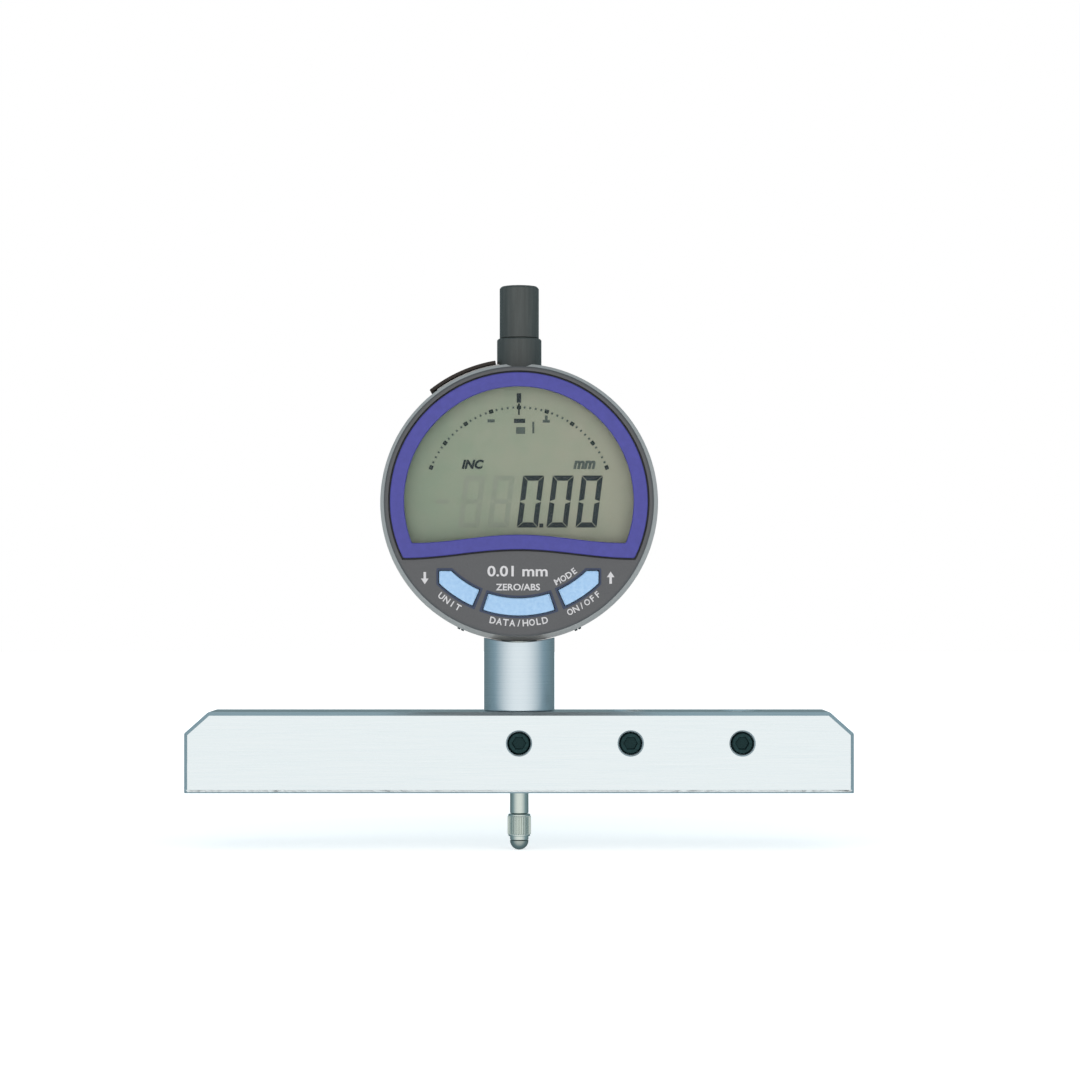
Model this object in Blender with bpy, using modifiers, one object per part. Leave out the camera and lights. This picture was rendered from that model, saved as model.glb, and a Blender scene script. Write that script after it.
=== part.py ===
"""Digital depth gauge: a round digital dial indicator carried on a ground steel base bar.

The origin is the lowest point of the contact tip with the spindle fully out. +Z runs up the spindle,
-Y faces the reader and +X runs along the base bar to the reader's right. Everything is in metres.
The dial's own parts hang on an empty whose local x is right, y is up and z is towards the reader.
"""

from math import asin, atan2, cos, degrees, pi, radians, sin, sqrt

import bmesh
import bpy
from mathutils import Matrix, Vector

MM = 0.001

# Driving dimensions
STROKE = 12.7 * MM  # full travel of the spindle
REACH = 13.3 * MM  # how far the tip stands out of the measuring face at rest
BASE_LENGTH = 150 * MM
BASE_DEPTH = 18 * MM
BASE_HEIGHT = 18.2 * MM
BASE_CORNER = (5.4 * MM, 4.8 * MM)  # the cut top corners, along X and Z
BASE_EDGE = 0.7 * MM
STATION_PITCH = 25 * MM
STATION_BORE = 5.0 * MM  # radius
CLAMP_HEIGHT = 11.2 * MM  # clamp screws above the measuring face
CLAMP_RADIUS = 2.5 * MM
SLEEVE_RADIUS = 8.0 * MM
STEM_RADIUS = 4.0 * MM
SPINDLE_RADIUS = 2.1 * MM
CASE_RADIUS = 31.3 * MM
DISPLAY_RADIUS = 30.1 * MM
WINDOW_RADIUS = 25.5 * MM
WINDOW_SILL, WINDOW_CROWN = -9.3 * MM, 1.85 * MM
FRAME_RADIUS = 28.63 * MM
FRAME_SILL, FRAME_CROWN = -12.65 * MM, 1.95 * MM
BUTTON_RING = (21.6 * MM, 25.4 * MM)  # inner and outer radius
BUTTON_TRAVEL = 0.6 * MM
GAP = 0.15 * MM  # clearance between pieces that stay together
RUN = 0.05 * MM  # clearance of a sliding or turning fit

# Heights along the spindle
FACE_Z = REACH
BASE_TOP = FACE_Z + BASE_HEIGHT
CLAMP_Z = FACE_Z + CLAMP_HEIGHT
DIAL_Z = FACE_Z + 65.25 * MM
SADDLE_RADIUS = CASE_RADIUS + 0.2 * MM  # the sleeve's top follows the case
SLEEVE_TOP = DIAL_Z - CASE_RADIUS + 0.9 * MM
SPIGOT_FOOT = BASE_TOP - 14 * MM
STEM_FOOT = DIAL_Z - CASE_RADIUS - 21.3 * MM
STEM_TOP = DIAL_Z - 27.2 * MM
CARRIAGE_FOOT = DIAL_Z - 12.2 * MM
CARRIAGE_TOP = CARRIAGE_FOOT + 7 * MM
COLLAR_FOOT = DIAL_Z + 26.4 * MM
COLLAR_TOP = DIAL_Z + 37.2 * MM
CAP_TOP = COLLAR_TOP + 11.85 * MM
SPINDLE_TOP = CAP_TOP - 1.2 * MM - STROKE

# Depths in the dial's frame, forwards of the spindle's axis
FRAME_FRONT = 13.7 * MM
FACE_FRONT = 13.0 * MM
FACE_BACK = 11.4 * MM
LENS_BACK = 11.45 * MM
LCD_FRONT = 11.25 * MM  # the liquid crystal cell, two glasses and a reflector deep
LCD_BACK = 9.45 * MM
BUTTON_BACK = 10.7 * MM
BOARD_FRONT = 8.15 * MM
BOARD_BACK = 7.35 * MM
SPIGOT_END = 7.2 * MM
DISPLAY_BACK = 5.85 * MM
CASE_FRONT = 5.6 * MM
CASE_CHAMFER = 1.3 * MM  # round its front edge
CASE_WEB = 4.0 * MM
CASE_BACK = -10.9 * MM
COVER_FRONT = -11.3 * MM
COVER_BACK = -12.8 * MM

SMOOTH = 56  # sides of a large round piece
ROUND = 28  # sides of a small one
FINE = 16  # sides of a fastener
BATTERY_AT = (0.0, -12.2 * MM)
COVER_SCREW_RING = 26.8 * MM
FRICTION_RING = 21 * MM
PAD_RADIUS = CASE_RADIUS + 0.35 * MM  # round the data port
GUIDE_X = 8 * MM
CARRIAGE_BOSS = 3.0 * MM
COVER_HINGE = 99.5  # degrees round the case
CASE_SCREWS = {"left": 245.0, "right": 295.0}
SCREW_ANGLES = (45, 135, 225, 315)
BUTTONS = ("left", "middle", "right")
STATIONS = ("centre", "inner", "outer")
AXIS_X = Matrix.Rotation(pi / 2, 4, "Y")
AXIS_Y = Matrix.Rotation(-pi / 2, 4, "X")


# Scene, materials and placing


def clear_scene():
    for obj in list(bpy.data.objects):
        bpy.data.objects.remove(obj, do_unlink=True)


def new_collection(name):
    collection = bpy.data.collections.new(name)
    bpy.context.scene.collection.children.link(collection)
    return collection


def new_material(name, colour, roughness, metallic=0.0):
    material = bpy.data.materials.new(name)
    material.use_nodes = True
    shader = material.node_tree.nodes["Principled BSDF"]
    shader.inputs["Base Color"].default_value = (*colour, 1.0)
    shader.inputs["Roughness"].default_value = roughness
    shader.inputs["Metallic"].default_value = metallic
    material.diffuse_color = (*colour, 1.0)
    return material


def place(name, mesh, material, parent=None, location=(0, 0, 0)):
    obj = bpy.data.objects.new(name, mesh)
    obj.location = location
    obj.parent = parent
    if material is CUTTER:
        CUTTERS.objects.link(obj)
        obj.hide_render = True
        obj.display_type = "WIRE"
    else:
        PARTS.objects.link(obj)
        mesh.materials.append(material)
    return obj


# Shapes


def finish_mesh(name, form):
    mesh = bpy.data.meshes.new(name)
    form.to_mesh(mesh)
    form.free()
    return mesh


def block(name, low, high, material, parent=None, edge=0.0):
    """A box between two corners, placed by its middle."""
    low, high = Vector(low), Vector(high)
    size = high - low
    form = bmesh.new()
    bmesh.ops.create_cube(form, size=1.0, matrix=Matrix.Diagonal((*size, 1.0)))
    obj = place(name, finish_mesh(name, form), material, parent, (low + high) / 2)
    if edge:
        bevel = obj.modifiers.new("edges", "BEVEL")
        bevel.width = edge
        bevel.segments = 1
    return obj


def rod(name, radius, low, high, material, parent=None, at=(0, 0), turn=None, sides=ROUND):
    """A cylinder from low to high along its own z, set at (x, y) or, with a turn, at a point."""
    form = bmesh.new()
    bmesh.ops.create_cone(
        form, cap_ends=True, segments=sides, radius1=radius, radius2=radius, depth=high - low,
        matrix=Matrix.Translation((0, 0, (low + high) / 2)),
    )
    mesh = finish_mesh(name, form)
    if turn is None:
        return place(name, mesh, material, parent, (at[0], at[1], 0))
    mesh.transform(turn)
    return place(name, mesh, material, parent, at)


def turned(name, profile, material, parent=None, location=(0, 0, 0), sides=ROUND):
    """A profile of (radius, z) points turned about z, running down its outer side. A profile that
    leaves the axis free at both ends is closed into a ring."""
    on_axis = profile[0][0] == 0 and profile[-1][0] == 0
    form = bmesh.new()
    points = [form.verts.new((radius, 0, z)) for radius, z in profile]
    for a, b in zip(points, points[1:]):
        form.edges.new((a, b))
    if not on_axis:
        form.edges.new((points[-1], points[0]))
    obj = place(name, finish_mesh(name, form), material, parent, location)
    screw = obj.modifiers.new("turning", "SCREW")
    screw.angle = 2 * pi
    screw.steps = screw.render_steps = sides
    screw.use_merge_vertices = True
    screw.merge_threshold = 0.00001
    return obj


def tube(name, outer, inner, low, high, material, parent=None, location=(0, 0, 0), sides=ROUND):
    profile = [(outer, high), (outer, low), (inner, low), (inner, high)]
    return turned(name, profile, material, parent, location, sides)


def outline_solid(name, loops, low, high, material, parent=None, chamfer=0.0, location=(0, 0)):
    """A flat outline, with holes after the first loop, raised from low to high."""
    curve = bpy.data.curves.new(name, "CURVE")
    curve.dimensions = "2D"
    curve.fill_mode = "BOTH"
    curve.extrude = (high - low) / 2 - chamfer
    curve.bevel_depth = chamfer
    curve.bevel_resolution = 0
    curve.offset = -chamfer
    for loop in loops:
        spline = curve.splines.new("POLY")
        spline.points.add(len(loop) - 1)
        for point, (x, y) in zip(spline.points, loop):
            point.co = (x, y, 0, 1)
        spline.use_cyclic_u = True
    draft = bpy.data.objects.new(name + "_outline", curve)
    CUTTERS.objects.link(draft)
    bpy.context.view_layer.update()
    graph = bpy.context.evaluated_depsgraph_get()
    mesh = bpy.data.meshes.new_from_object(draft.evaluated_get(graph))
    bpy.data.objects.remove(draft)
    form = bmesh.new()
    form.from_mesh(mesh)
    bmesh.ops.remove_doubles(form, verts=form.verts, dist=0.000001)
    bmesh.ops.recalc_face_normals(form, faces=form.faces)
    form.to_mesh(mesh)
    form.free()
    mesh.materials.clear()
    return place(name, mesh, material, parent, (*location, (low + high) / 2))


def shape_with(obj, operation, others):
    for other in others:
        modifier = obj.modifiers.new(operation.lower(), "BOOLEAN")
        modifier.operation = operation
        modifier.solver = "EXACT"
        modifier.object = other


def cut(obj, *cutters):
    shape_with(obj, "DIFFERENCE", cutters)


def join(obj, *others):
    shape_with(obj, "UNION", others)


def shade_round(obj, angle=35):
    obj.data.shade_smooth()
    if obj.data.polygons:
        obj.data.set_sharp_from_angle(angle=radians(angle))


# Outlines in the dial's plane


def arc(radius, start, end, steps, centre=(0, 0)):
    """Points on an arc, in degrees anticlockwise from +x, both ends included."""
    turns = [radians(start + (end - start) * i / steps) for i in range(steps + 1)]
    return [(centre[0] + radius * cos(t), centre[1] + radius * sin(t)) for t in turns]


def window_loop(radius, sill, crown, steps=44):
    """The display's D shape: a circle cut by a sill that rises by crown in its middle."""
    half = sqrt(radius**2 - sill**2)
    corner = degrees(asin(sill / radius))
    top = arc(radius, corner, 180 - corner, steps)
    floor = [half * (i / 8 - 1) for i in range(1, 16)]
    return top + [(x, sill + crown * (1 + cos(pi * x / half)) / 2) for x in floor]


def sector_loop(inner, outer, start, end, steps=10):
    """A stretch of a flat ring between two angles, in degrees anticlockwise from +x."""
    return arc(outer, start, end, steps) + arc(inner, end, start, steps)


def button_loop(which, grow=0.0):
    """The outline of a button, larger all round by grow. The outer ends of the side buttons are square."""
    inner, outer = BUTTON_RING[0] - grow, BUTTON_RING[1] + grow
    slack = degrees(grow / inner)
    if which == "middle":
        return sector_loop(inner, outer, 270 - 18.2 - slack, 270 + 18.2 + slack)
    near = 24.0 - slack
    tip_x, tip_y = 17.7 * MM + grow, -15.5 * MM + grow
    low_y = -sqrt(outer**2 - tip_x**2)
    stop = degrees(atan2(tip_x, -low_y))
    inner_stop = degrees(asin(min(1.0, -tip_y / inner)))
    loop = arc(outer, 270 + near, 270 + stop, 8)
    loop += [(tip_x, tip_y)]
    loop += arc(inner, 360 - inner_stop, 270 + near, 8)
    if which == "right":
        return loop
    return [(-x, y) for x, y in reversed(loop)]


# The base


def base_bar():
    half, cut_x, cut_z = BASE_LENGTH / 2, *BASE_CORNER
    outline = [
        (-half, 0), (half, 0), (half, BASE_HEIGHT - cut_z), (half - cut_x, BASE_HEIGHT),
        (-half + cut_x, BASE_HEIGHT), (-half, BASE_HEIGHT - cut_z),
    ]
    bar = outline_solid(
        "base_bar", [outline], -BASE_DEPTH / 2, BASE_DEPTH / 2, STEEL, BASE_FRAME, BASE_EDGE
    )
    for i, station in enumerate(STATIONS):
        x = i * STATION_PITCH
        bore = rod(f"cut_bore_{station}", STATION_BORE, FACE_Z - MM, BASE_TOP + MM, CUTTER, at=(x, 0))
        hole = rod(
            f"cut_clamp_{station}", CLAMP_RADIUS + GAP, -BASE_DEPTH / 2 - MM, -STATION_BORE + MM,
            CUTTER, at=(x, 0, CLAMP_Z), turn=AXIS_Y,
        )
        cut(bar, bore, hole)
    return bar


def clamp_screws():
    """Socket set screws that lock the sleeve's spigot in the bar's bores."""
    for i, station in enumerate(STATIONS):
        at = (i * STATION_PITCH, 0, CLAMP_Z)
        front, back = -BASE_DEPTH / 2 + 0.45 * MM, -STATION_BORE - 0.1 * MM
        screw = rod(f"clamp_screw_{station}", CLAMP_RADIUS, front, back, BLACK_STEEL, at=at, turn=AXIS_Y)
        socket = rod(
            f"cut_socket_{station}", 1.45 * MM, front - MM, front + 2.2 * MM, CUTTER, at=at, turn=AXIS_Y,
            sides=6,
        )
        cut(screw, socket)
        shade_round(screw)


def case_cutter(name, radius, low, high):
    """A cutter on the dial's own axis."""
    return rod(name, radius, low, high, CUTTER, DIAL, sides=SMOOTH)


def stem_sleeve():
    """A thick sleeve clamped on the indicator's stem. Its spigot sits in the base bar."""
    spigot, way = STATION_BORE - GAP, 3.2 * MM
    seat = STEM_RADIUS + GAP
    shoulder = STEM_FOOT - 1.2 * MM
    profile = [
        (SLEEVE_RADIUS, SLEEVE_TOP),
        (SLEEVE_RADIUS, BASE_TOP + 0.5 * MM),
        (SLEEVE_RADIUS - 0.4 * MM, BASE_TOP + 0.1 * MM),
        (spigot, BASE_TOP + 0.1 * MM),
        (spigot, SPIGOT_FOOT + 0.5 * MM),
        (spigot - 0.5 * MM, SPIGOT_FOOT),
        (way, SPIGOT_FOOT),
        (way, shoulder),
        (seat, shoulder),
        (seat, SLEEVE_TOP),
    ]
    sleeve = turned("stem_sleeve", profile, STEEL, sides=36)
    grub_z = (SLEEVE_TOP - MM + BASE_TOP) / 2
    hole = rod(
        "cut_sleeve_grub", 2.1 * MM, STEM_RADIUS - MM, SLEEVE_RADIUS + MM, CUTTER, at=(0, 0, grub_z),
        turn=AXIS_Y,
    )
    saddle = case_cutter("cut_saddle", SADDLE_RADIUS, -12 * MM, 12 * MM)
    cut(sleeve, hole, saddle)
    shade_round(sleeve)
    grub = rod(
        "sleeve_grub_screw", 1.95 * MM, STEM_RADIUS + 0.3 * MM, SLEEVE_RADIUS - 0.4 * MM, BLACK_STEEL,
        at=(0, 0, grub_z), turn=AXIS_Y, sides=FINE,
    )
    socket = rod(
        "cut_grub_socket", 1.15 * MM, SLEEVE_RADIUS - 2.2 * MM, SLEEVE_RADIUS + MM, CUTTER,
        at=(0, 0, grub_z), turn=AXIS_Y, sides=6,
    )
    cut(grub, socket)


# The spindle and what guides it


def spindle():
    r = SPINDLE_RADIUS
    foot = 8.2 * MM
    profile = [
        (0, SPINDLE_TOP), (r - 0.4 * MM, SPINDLE_TOP), (r, SPINDLE_TOP - 0.4 * MM),
        (r, foot + 0.2 * MM), (r - 0.2 * MM, foot), (1.3 * MM, foot), (1.3 * MM, foot + 5.6 * MM),
        (0, foot + 5.6 * MM),
    ]
    shade_round(turned("spindle_rod", profile, HARD_STEEL))
    grip = 2.6 * MM
    profile = [
        (0, foot + 5.2 * MM), (0.9 * MM, foot + 5.2 * MM), (1.15 * MM, foot + 4.9 * MM),
        (1.15 * MM, foot - 0.1 * MM), (grip - 0.25 * MM, foot - 0.1 * MM), (grip, foot - 0.35 * MM),
        (grip, 3.65 * MM), (grip - 0.3 * MM, 3.35 * MM), (r, 3.35 * MM), (r, 2.3 * MM),
        (1.2 * MM, 2.3 * MM), (1.2 * MM, 4.3 * MM), (0, 4.3 * MM),
    ]
    shade_round(turned("contact_holder", profile, HARD_STEEL))
    ball = r
    dome = [(ball * cos(radians(a)), ball * (1 - sin(radians(a)))) for a in range(0, 91, 15)]
    dome[-1] = (0, 0)
    profile = [(0, 4.1 * MM), (1.05 * MM, 4.1 * MM), (1.05 * MM, 2.2 * MM), (ball, 2.2 * MM), *dome]
    shade_round(turned("contact_tip", profile, CARBIDE))


def stem_parts():
    """The indicator's stem with its bush, wiper and stop, all round the spindle."""
    top, foot = STEM_TOP, STEM_FOOT
    profile = [
        (5.0 * MM, top), (5.0 * MM, top - 1.4 * MM), (STEM_RADIUS, top - 1.4 * MM),
        (STEM_RADIUS, foot + 0.3 * MM), (STEM_RADIUS - 0.3 * MM, foot), (3.15 * MM, foot), (3.15 * MM, top),
    ]
    shade_round(turned("stem", profile, HARD_STEEL))
    slide = SPINDLE_RADIUS + RUN
    tube("lower_bush", 3.0 * MM, slide, foot + 0.3 * MM, foot + 8 * MM, BRASS)
    tube("stem_wiper", 3.9 * MM, slide + 0.1 * MM, foot - 1.0 * MM, foot - 0.15 * MM, RUBBER, sides=24)
    tube("stop_sleeve", CARRIAGE_BOSS, slide + 0.2 * MM, top + 0.15 * MM, CARRIAGE_FOOT - 0.1 * MM, PLASTIC)


def collar_and_cap():
    """The collar on top of the case, the bush inside it, and the cap that the spindle rises into."""
    seat, well = 3.15 * MM, 3.7 * MM
    step = DIAL_Z + 32.3 * MM
    profile = [
        (4.7 * MM, COLLAR_TOP), (5.03 * MM, COLLAR_TOP - 0.33 * MM), (5.03 * MM, COLLAR_FOOT),
        (seat, COLLAR_FOOT), (seat, step), (well, step), (well, COLLAR_TOP),
    ]
    shade_round(turned("upper_collar", profile, BLACK_PLASTIC))
    tube("upper_bush", 3.0 * MM, SPINDLE_RADIUS + RUN, COLLAR_FOOT + 0.2 * MM, step - 0.4 * MM, BRASS)
    roof = CAP_TOP - 1.0 * MM
    profile = [
        (0, CAP_TOP), (3.92 * MM, CAP_TOP), (4.44 * MM, CAP_TOP - 0.5 * MM),
        (4.44 * MM, COLLAR_TOP + 0.1 * MM),
        (3.5 * MM, COLLAR_TOP + 0.1 * MM), (3.5 * MM, step + 0.2 * MM), (2.6 * MM, step + 0.2 * MM),
        (2.6 * MM, roof), (0, roof),
    ]
    shade_round(turned("spindle_cap", profile, BLACK_PLASTIC))


def return_spring():
    """A compression spring between the carriage and the collar."""
    coil, wire, turns, per_turn = 2.75 * MM, 0.25 * MM, 9, 9
    low, high = CARRIAGE_TOP + 0.4 * MM, COLLAR_FOOT - 0.4 * MM
    curve = bpy.data.curves.new("return_spring", "CURVE")
    curve.dimensions = "3D"
    curve.bevel_depth = wire
    curve.bevel_resolution = 1
    curve.use_fill_caps = True
    spline = curve.splines.new("POLY")
    count = turns * per_turn
    spline.points.add(count)
    for i, point in enumerate(spline.points):
        share, angle = i / count, 2 * pi * i / per_turn
        point.co = (coil * cos(angle), coil * sin(angle), low + (high - low) * share, 1)
    obj = bpy.data.objects.new("return_spring", curve)
    curve.materials.append(HARD_STEEL)
    PARTS.objects.link(obj)


def carriage():
    """The block on the spindle that carries the scale and runs along the guide rod."""
    body = block(
        "carriage", (-12.3 * MM, -2.7 * MM, CARRIAGE_FOOT), (10.6 * MM, 0.1 * MM, CARRIAGE_TOP), ALUMINIUM
    )
    boss = rod("join_carriage_boss", CARRIAGE_BOSS, CARRIAGE_FOOT, CARRIAGE_TOP, CUTTER)
    bore = rod("cut_carriage_bore", SPINDLE_RADIUS + 0.1 * MM, CARRIAGE_FOOT - MM, CARRIAGE_TOP + MM,
        CUTTER)
    slot = block(
        "cut_carriage_slot", (GUIDE_X - 1.2 * MM, -1.2 * MM, CARRIAGE_FOOT - MM),
        (GUIDE_X + 5 * MM, 2 * MM, CARRIAGE_TOP + MM), CUTTER,
    )
    join(body, boss)
    cut(body, bore, slot)
    scale_low = CARRIAGE_FOOT - 8 * MM
    block(
        "scale_strip", (-12 * MM, 0.25 * MM, scale_low), (-5 * MM, 1.25 * MM, scale_low + 26 * MM), GLASS
    )


def inner_frame():
    """The plate that holds the guide rod and the fixed half of the sensor."""
    low, high = DIAL_Z - 23 * MM, DIAL_Z + 23 * MM
    frame = block("inner_frame", (-14 * MM, 3.6 * MM, low), (12 * MM, 4.3 * MM, high), ALUMINIUM)
    for name, z in (("lower", low), ("upper", high - 3 * MM)):
        lug = block(
            f"join_lug_{name}", (GUIDE_X - 2.4 * MM, -1.9 * MM, z), (GUIDE_X + 2.4 * MM, 3.9 * MM,
            z + 3 * MM),
            CUTTER,
        )
        join(frame, lug)
    pad = block(
        "join_sensor_pad", (-12.5 * MM, 2.7 * MM, DIAL_Z - 15 * MM),
        (-4.5 * MM, 3.9 * MM, DIAL_Z + 15 * MM), CUTTER
    )
    hole = rod("cut_guide", 1.1 * MM + RUN, low - MM, high + MM, CUTTER, at=(GUIDE_X, 0))
    join(frame, pad)
    cut(frame, hole)
    rod("guide_rod", 1.1 * MM, low + 0.2 * MM, high - 0.2 * MM, HARD_STEEL, at=(GUIDE_X, 0), sides=24)
    block(
        "sensor_board", (-13 * MM, 1.6 * MM, DIAL_Z - 16 * MM), (-4 * MM, 2.5 * MM, DIAL_Z + 16 * MM), BOARD
    )


# The rear case




def rear_case():
    wall, spigot, way = 29.4 * MM, 13.5 * MM, 11 * MM
    groove = CASE_FRONT - 0.7 * MM
    profile = [
        (spigot, SPIGOT_END), (spigot, CASE_FRONT), (FRICTION_RING - 0.65 * MM, CASE_FRONT),
        (FRICTION_RING - 0.65 * MM, groove), (FRICTION_RING + 0.65 * MM, groove),
        (FRICTION_RING + 0.65 * MM, CASE_FRONT), (CASE_RADIUS - CASE_CHAMFER, CASE_FRONT),
        (CASE_RADIUS, CASE_FRONT - CASE_CHAMFER), (CASE_RADIUS, CASE_BACK + 0.5 * MM),
        (CASE_RADIUS - 0.5 * MM, CASE_BACK), (wall, CASE_BACK), (wall, CASE_WEB), (way, CASE_WEB),
        (way, SPIGOT_END),
    ]
    case = turned("rear_case", profile, SATIN_STEEL, DIAL, sides=SMOOTH)
    for angle in SCREW_ANGLES:
        at = (COVER_SCREW_RING * cos(radians(angle)), COVER_SCREW_RING * sin(radians(angle)))
        post = rod(f"join_post_{angle}", 3.0 * MM, CASE_BACK, CASE_WEB + MM, CUTTER, DIAL, at, sides=FINE)
        join(case, post)
    pad = outline_solid(
        "join_port_pad", [sector_loop(30 * MM, PAD_RADIUS, 98, 126, 12)], -6.5 * MM, 2.5 * MM, CUTTER, DIAL
    )
    join(case, pad)
    for angle in SCREW_ANGLES:
        at = (COVER_SCREW_RING * cos(radians(angle)), COVER_SCREW_RING * sin(radians(angle)))
        pilot = rod(f"cut_pilot_{angle}", 1.15 * MM, CASE_BACK - MM, -3.5 * MM, CUTTER, DIAL, at,
            sides=FINE)
        cut(case, pilot)
    port = outline_solid(
        "cut_port", [sector_loop(28 * MM, 34 * MM, 106, 124, 8)], -3.6 * MM, -0.4 * MM, CUTTER, DIAL
    )
    below = rod("cut_stem_hole", STEM_RADIUS + GAP, DIAL_Z - 34 * MM, DIAL_Z - 26 * MM, CUTTER)
    above = rod("cut_collar_hole", 5.03 * MM + GAP, DIAL_Z + 26 * MM, DIAL_Z + 34 * MM, CUTTER)
    relief = rod("cut_stem_relief", 5.0 * MM + GAP, DIAL_Z - 29.1 * MM, DIAL_Z - 26 * MM, CUTTER)
    cut(case, port, below, above, relief)
    for side in CASE_SCREWS:
        cut(case, side_screw(f"cut_side_{side}", CASE_SCREWS[side], 1.0 * MM, 28 * MM, 33 * MM, CUTTER))
        side_screw(f"case_screw_{side}", CASE_SCREWS[side], 0.8 * MM, 29.6 * MM,
            CASE_RADIUS + 0.4 * MM, BLACK_STEEL)


def side_screw(name, angle, radius, low, high, material):
    """A rod standing out of the case's rim at an angle in the dial's plane, 2 mm behind the spindle."""
    turn = Matrix.Rotation(radians(angle), 4, "Z") @ AXIS_X
    return rod(name, radius, low, high, material, DIAL, (0, 0, -2 * MM), turn, sides=16)


def data_port():
    """The socket under the case's rim and the rubber strip that closes it."""
    outline_solid(
        "data_socket", [sector_loop(27.4 * MM, 29.2 * MM, 105, 125, 8)], -4.4 * MM, 0.4 * MM,
        BLACK_PLASTIC, DIAL
    )
    cover = outline_solid(
        "port_cover", [sector_loop(PAD_RADIUS + GAP, PAD_RADIUS + 0.9 * MM, COVER_HINGE, 128.5, 16)],
        -7.0 * MM, 3.0 * MM, RUBBER, DIAL, 0.15 * MM,
    )
    plug = outline_solid(
        "join_port_plug", [sector_loop(30.2 * MM, PAD_RADIUS + 0.4 * MM, 108.5, 121.5, 6)], -3.1 * MM,
        -0.9 * MM,
        CUTTER, DIAL,
    )
    join(cover, plug)


def back_parts():
    """The back cover with its gasket and screws, and the battery with its holder and cap."""
    outer = CASE_RADIUS - 0.4 * MM
    tube("back_gasket", outer, 29.6 * MM, COVER_FRONT + 0.08 * MM, CASE_BACK - 0.08 * MM, RUBBER, DIAL,
        sides=SMOOTH)
    profile = [
        (0, COVER_FRONT), (outer, COVER_FRONT), (outer, COVER_BACK + 0.5 * MM),
        (outer - 0.5 * MM, COVER_BACK),
        (0, COVER_BACK),
    ]
    cover = turned("back_cover", profile, SATIN_STEEL, DIAL, sides=SMOOTH)
    hole = rod("cut_battery_hole", 11.5 * MM, COVER_BACK - MM, COVER_FRONT + MM, CUTTER, DIAL,
        BATTERY_AT, sides=48)
    cut(cover, hole)
    for i, angle in enumerate(SCREW_ANGLES):
        at = (COVER_SCREW_RING * cos(radians(angle)), COVER_SCREW_RING * sin(radians(angle)))
        sink = rod(f"cut_sink_{i}", 2.1 * MM, COVER_BACK - MM, COVER_BACK + 0.9 * MM, CUTTER, DIAL, at,
            sides=FINE)
        through = rod(f"cut_through_{i}", 1.15 * MM, COVER_BACK - MM, COVER_FRONT + MM, CUTTER, DIAL,
            at, sides=FINE)
        cut(cover, sink, through)
        head, shank, tail = 1.95 * MM, 1.0 * MM, CASE_BACK + 6 * MM
        under = COVER_BACK + 0.8 * MM
        profile = [
            (0, tail), (shank - 0.3 * MM, tail), (shank, tail - 0.3 * MM), (shank, under), (head, under),
            (head, COVER_BACK + 0.3 * MM), (head - 0.3 * MM, COVER_BACK), (0, COVER_BACK),
        ]
        screw = turned(f"back_screw_{i + 1}", profile, BLACK_STEEL, DIAL, (*at, 0), FINE)
        slot = block(
            f"cut_slot_{i}", (at[0] - 3 * MM, at[1] - 0.25 * MM, COVER_BACK - MM),
            (at[0] + 3 * MM, at[1] + 0.25 * MM, COVER_BACK + 0.4 * MM), CUTTER, DIAL,
        )
        cut(screw, slot)
    battery_parts()


def battery_parts():
    at = (*BATTERY_AT, 0)
    floor, rim = -5.4 * MM, -10.3 * MM
    profile = [
        (0, floor), (11.6 * MM, floor), (11.6 * MM, rim), (10.6 * MM, rim), (10.6 * MM, floor - 0.8 * MM),
        (0, floor - 0.8 * MM),
    ]
    turned("battery_holder", profile, BLACK_PLASTIC, DIAL, at, 40)
    edge = 0.3 * MM
    low, high, r = -9.95 * MM, -6.75 * MM, 10.0 * MM
    profile = [(0, high), (8.6 * MM, high), (8.6 * MM, high - 0.25 * MM), (r, high - 0.25 * MM),
        (r, low + edge), (r - edge, low), (0, low)]
    turned("battery_cell", profile, HARD_STEEL, DIAL, at, 40)
    x, y = BATTERY_AT
    block(
        "battery_contact_minus", (x - 4 * MM, y - 1.5 * MM, -6.6 * MM),
        (x + 4 * MM, y + 1.5 * MM, -6.35 * MM),
        BRASS, DIAL,
    )
    outline_solid(
        "battery_contact_plus", [sector_loop(10.15 * MM, 10.45 * MM, 60, 120, 8)], -9.7 * MM,
        -7.2 * MM, BRASS,
        DIAL, location=BATTERY_AT,
    )
    face = 11.3 * MM
    profile = [
        (0, -10.45 * MM), (9.9 * MM, -10.45 * MM), (9.9 * MM, COVER_FRONT - 0.2 * MM),
        (face, COVER_FRONT - 0.2 * MM),
        (face, COVER_BACK + 0.3 * MM), (face - 0.3 * MM, COVER_BACK), (0, COVER_BACK),
    ]
    cap = turned("battery_cap", profile, BLACK_PLASTIC, DIAL, at, 48)
    slot = block(
        "cut_coin_slot", (x - 7 * MM, y - 0.9 * MM, COVER_BACK - MM),
        (x + 7 * MM, y + 0.9 * MM, COVER_BACK + 0.8 * MM),
        CUTTER, DIAL,
    )
    cut(cap, slot)
    tube("battery_seal", 11.1 * MM, 10.05 * MM, -11.3 * MM, -10.65 * MM, RUBBER, DIAL, at, 40)


# The display unit, which turns on the case's spigot


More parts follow.
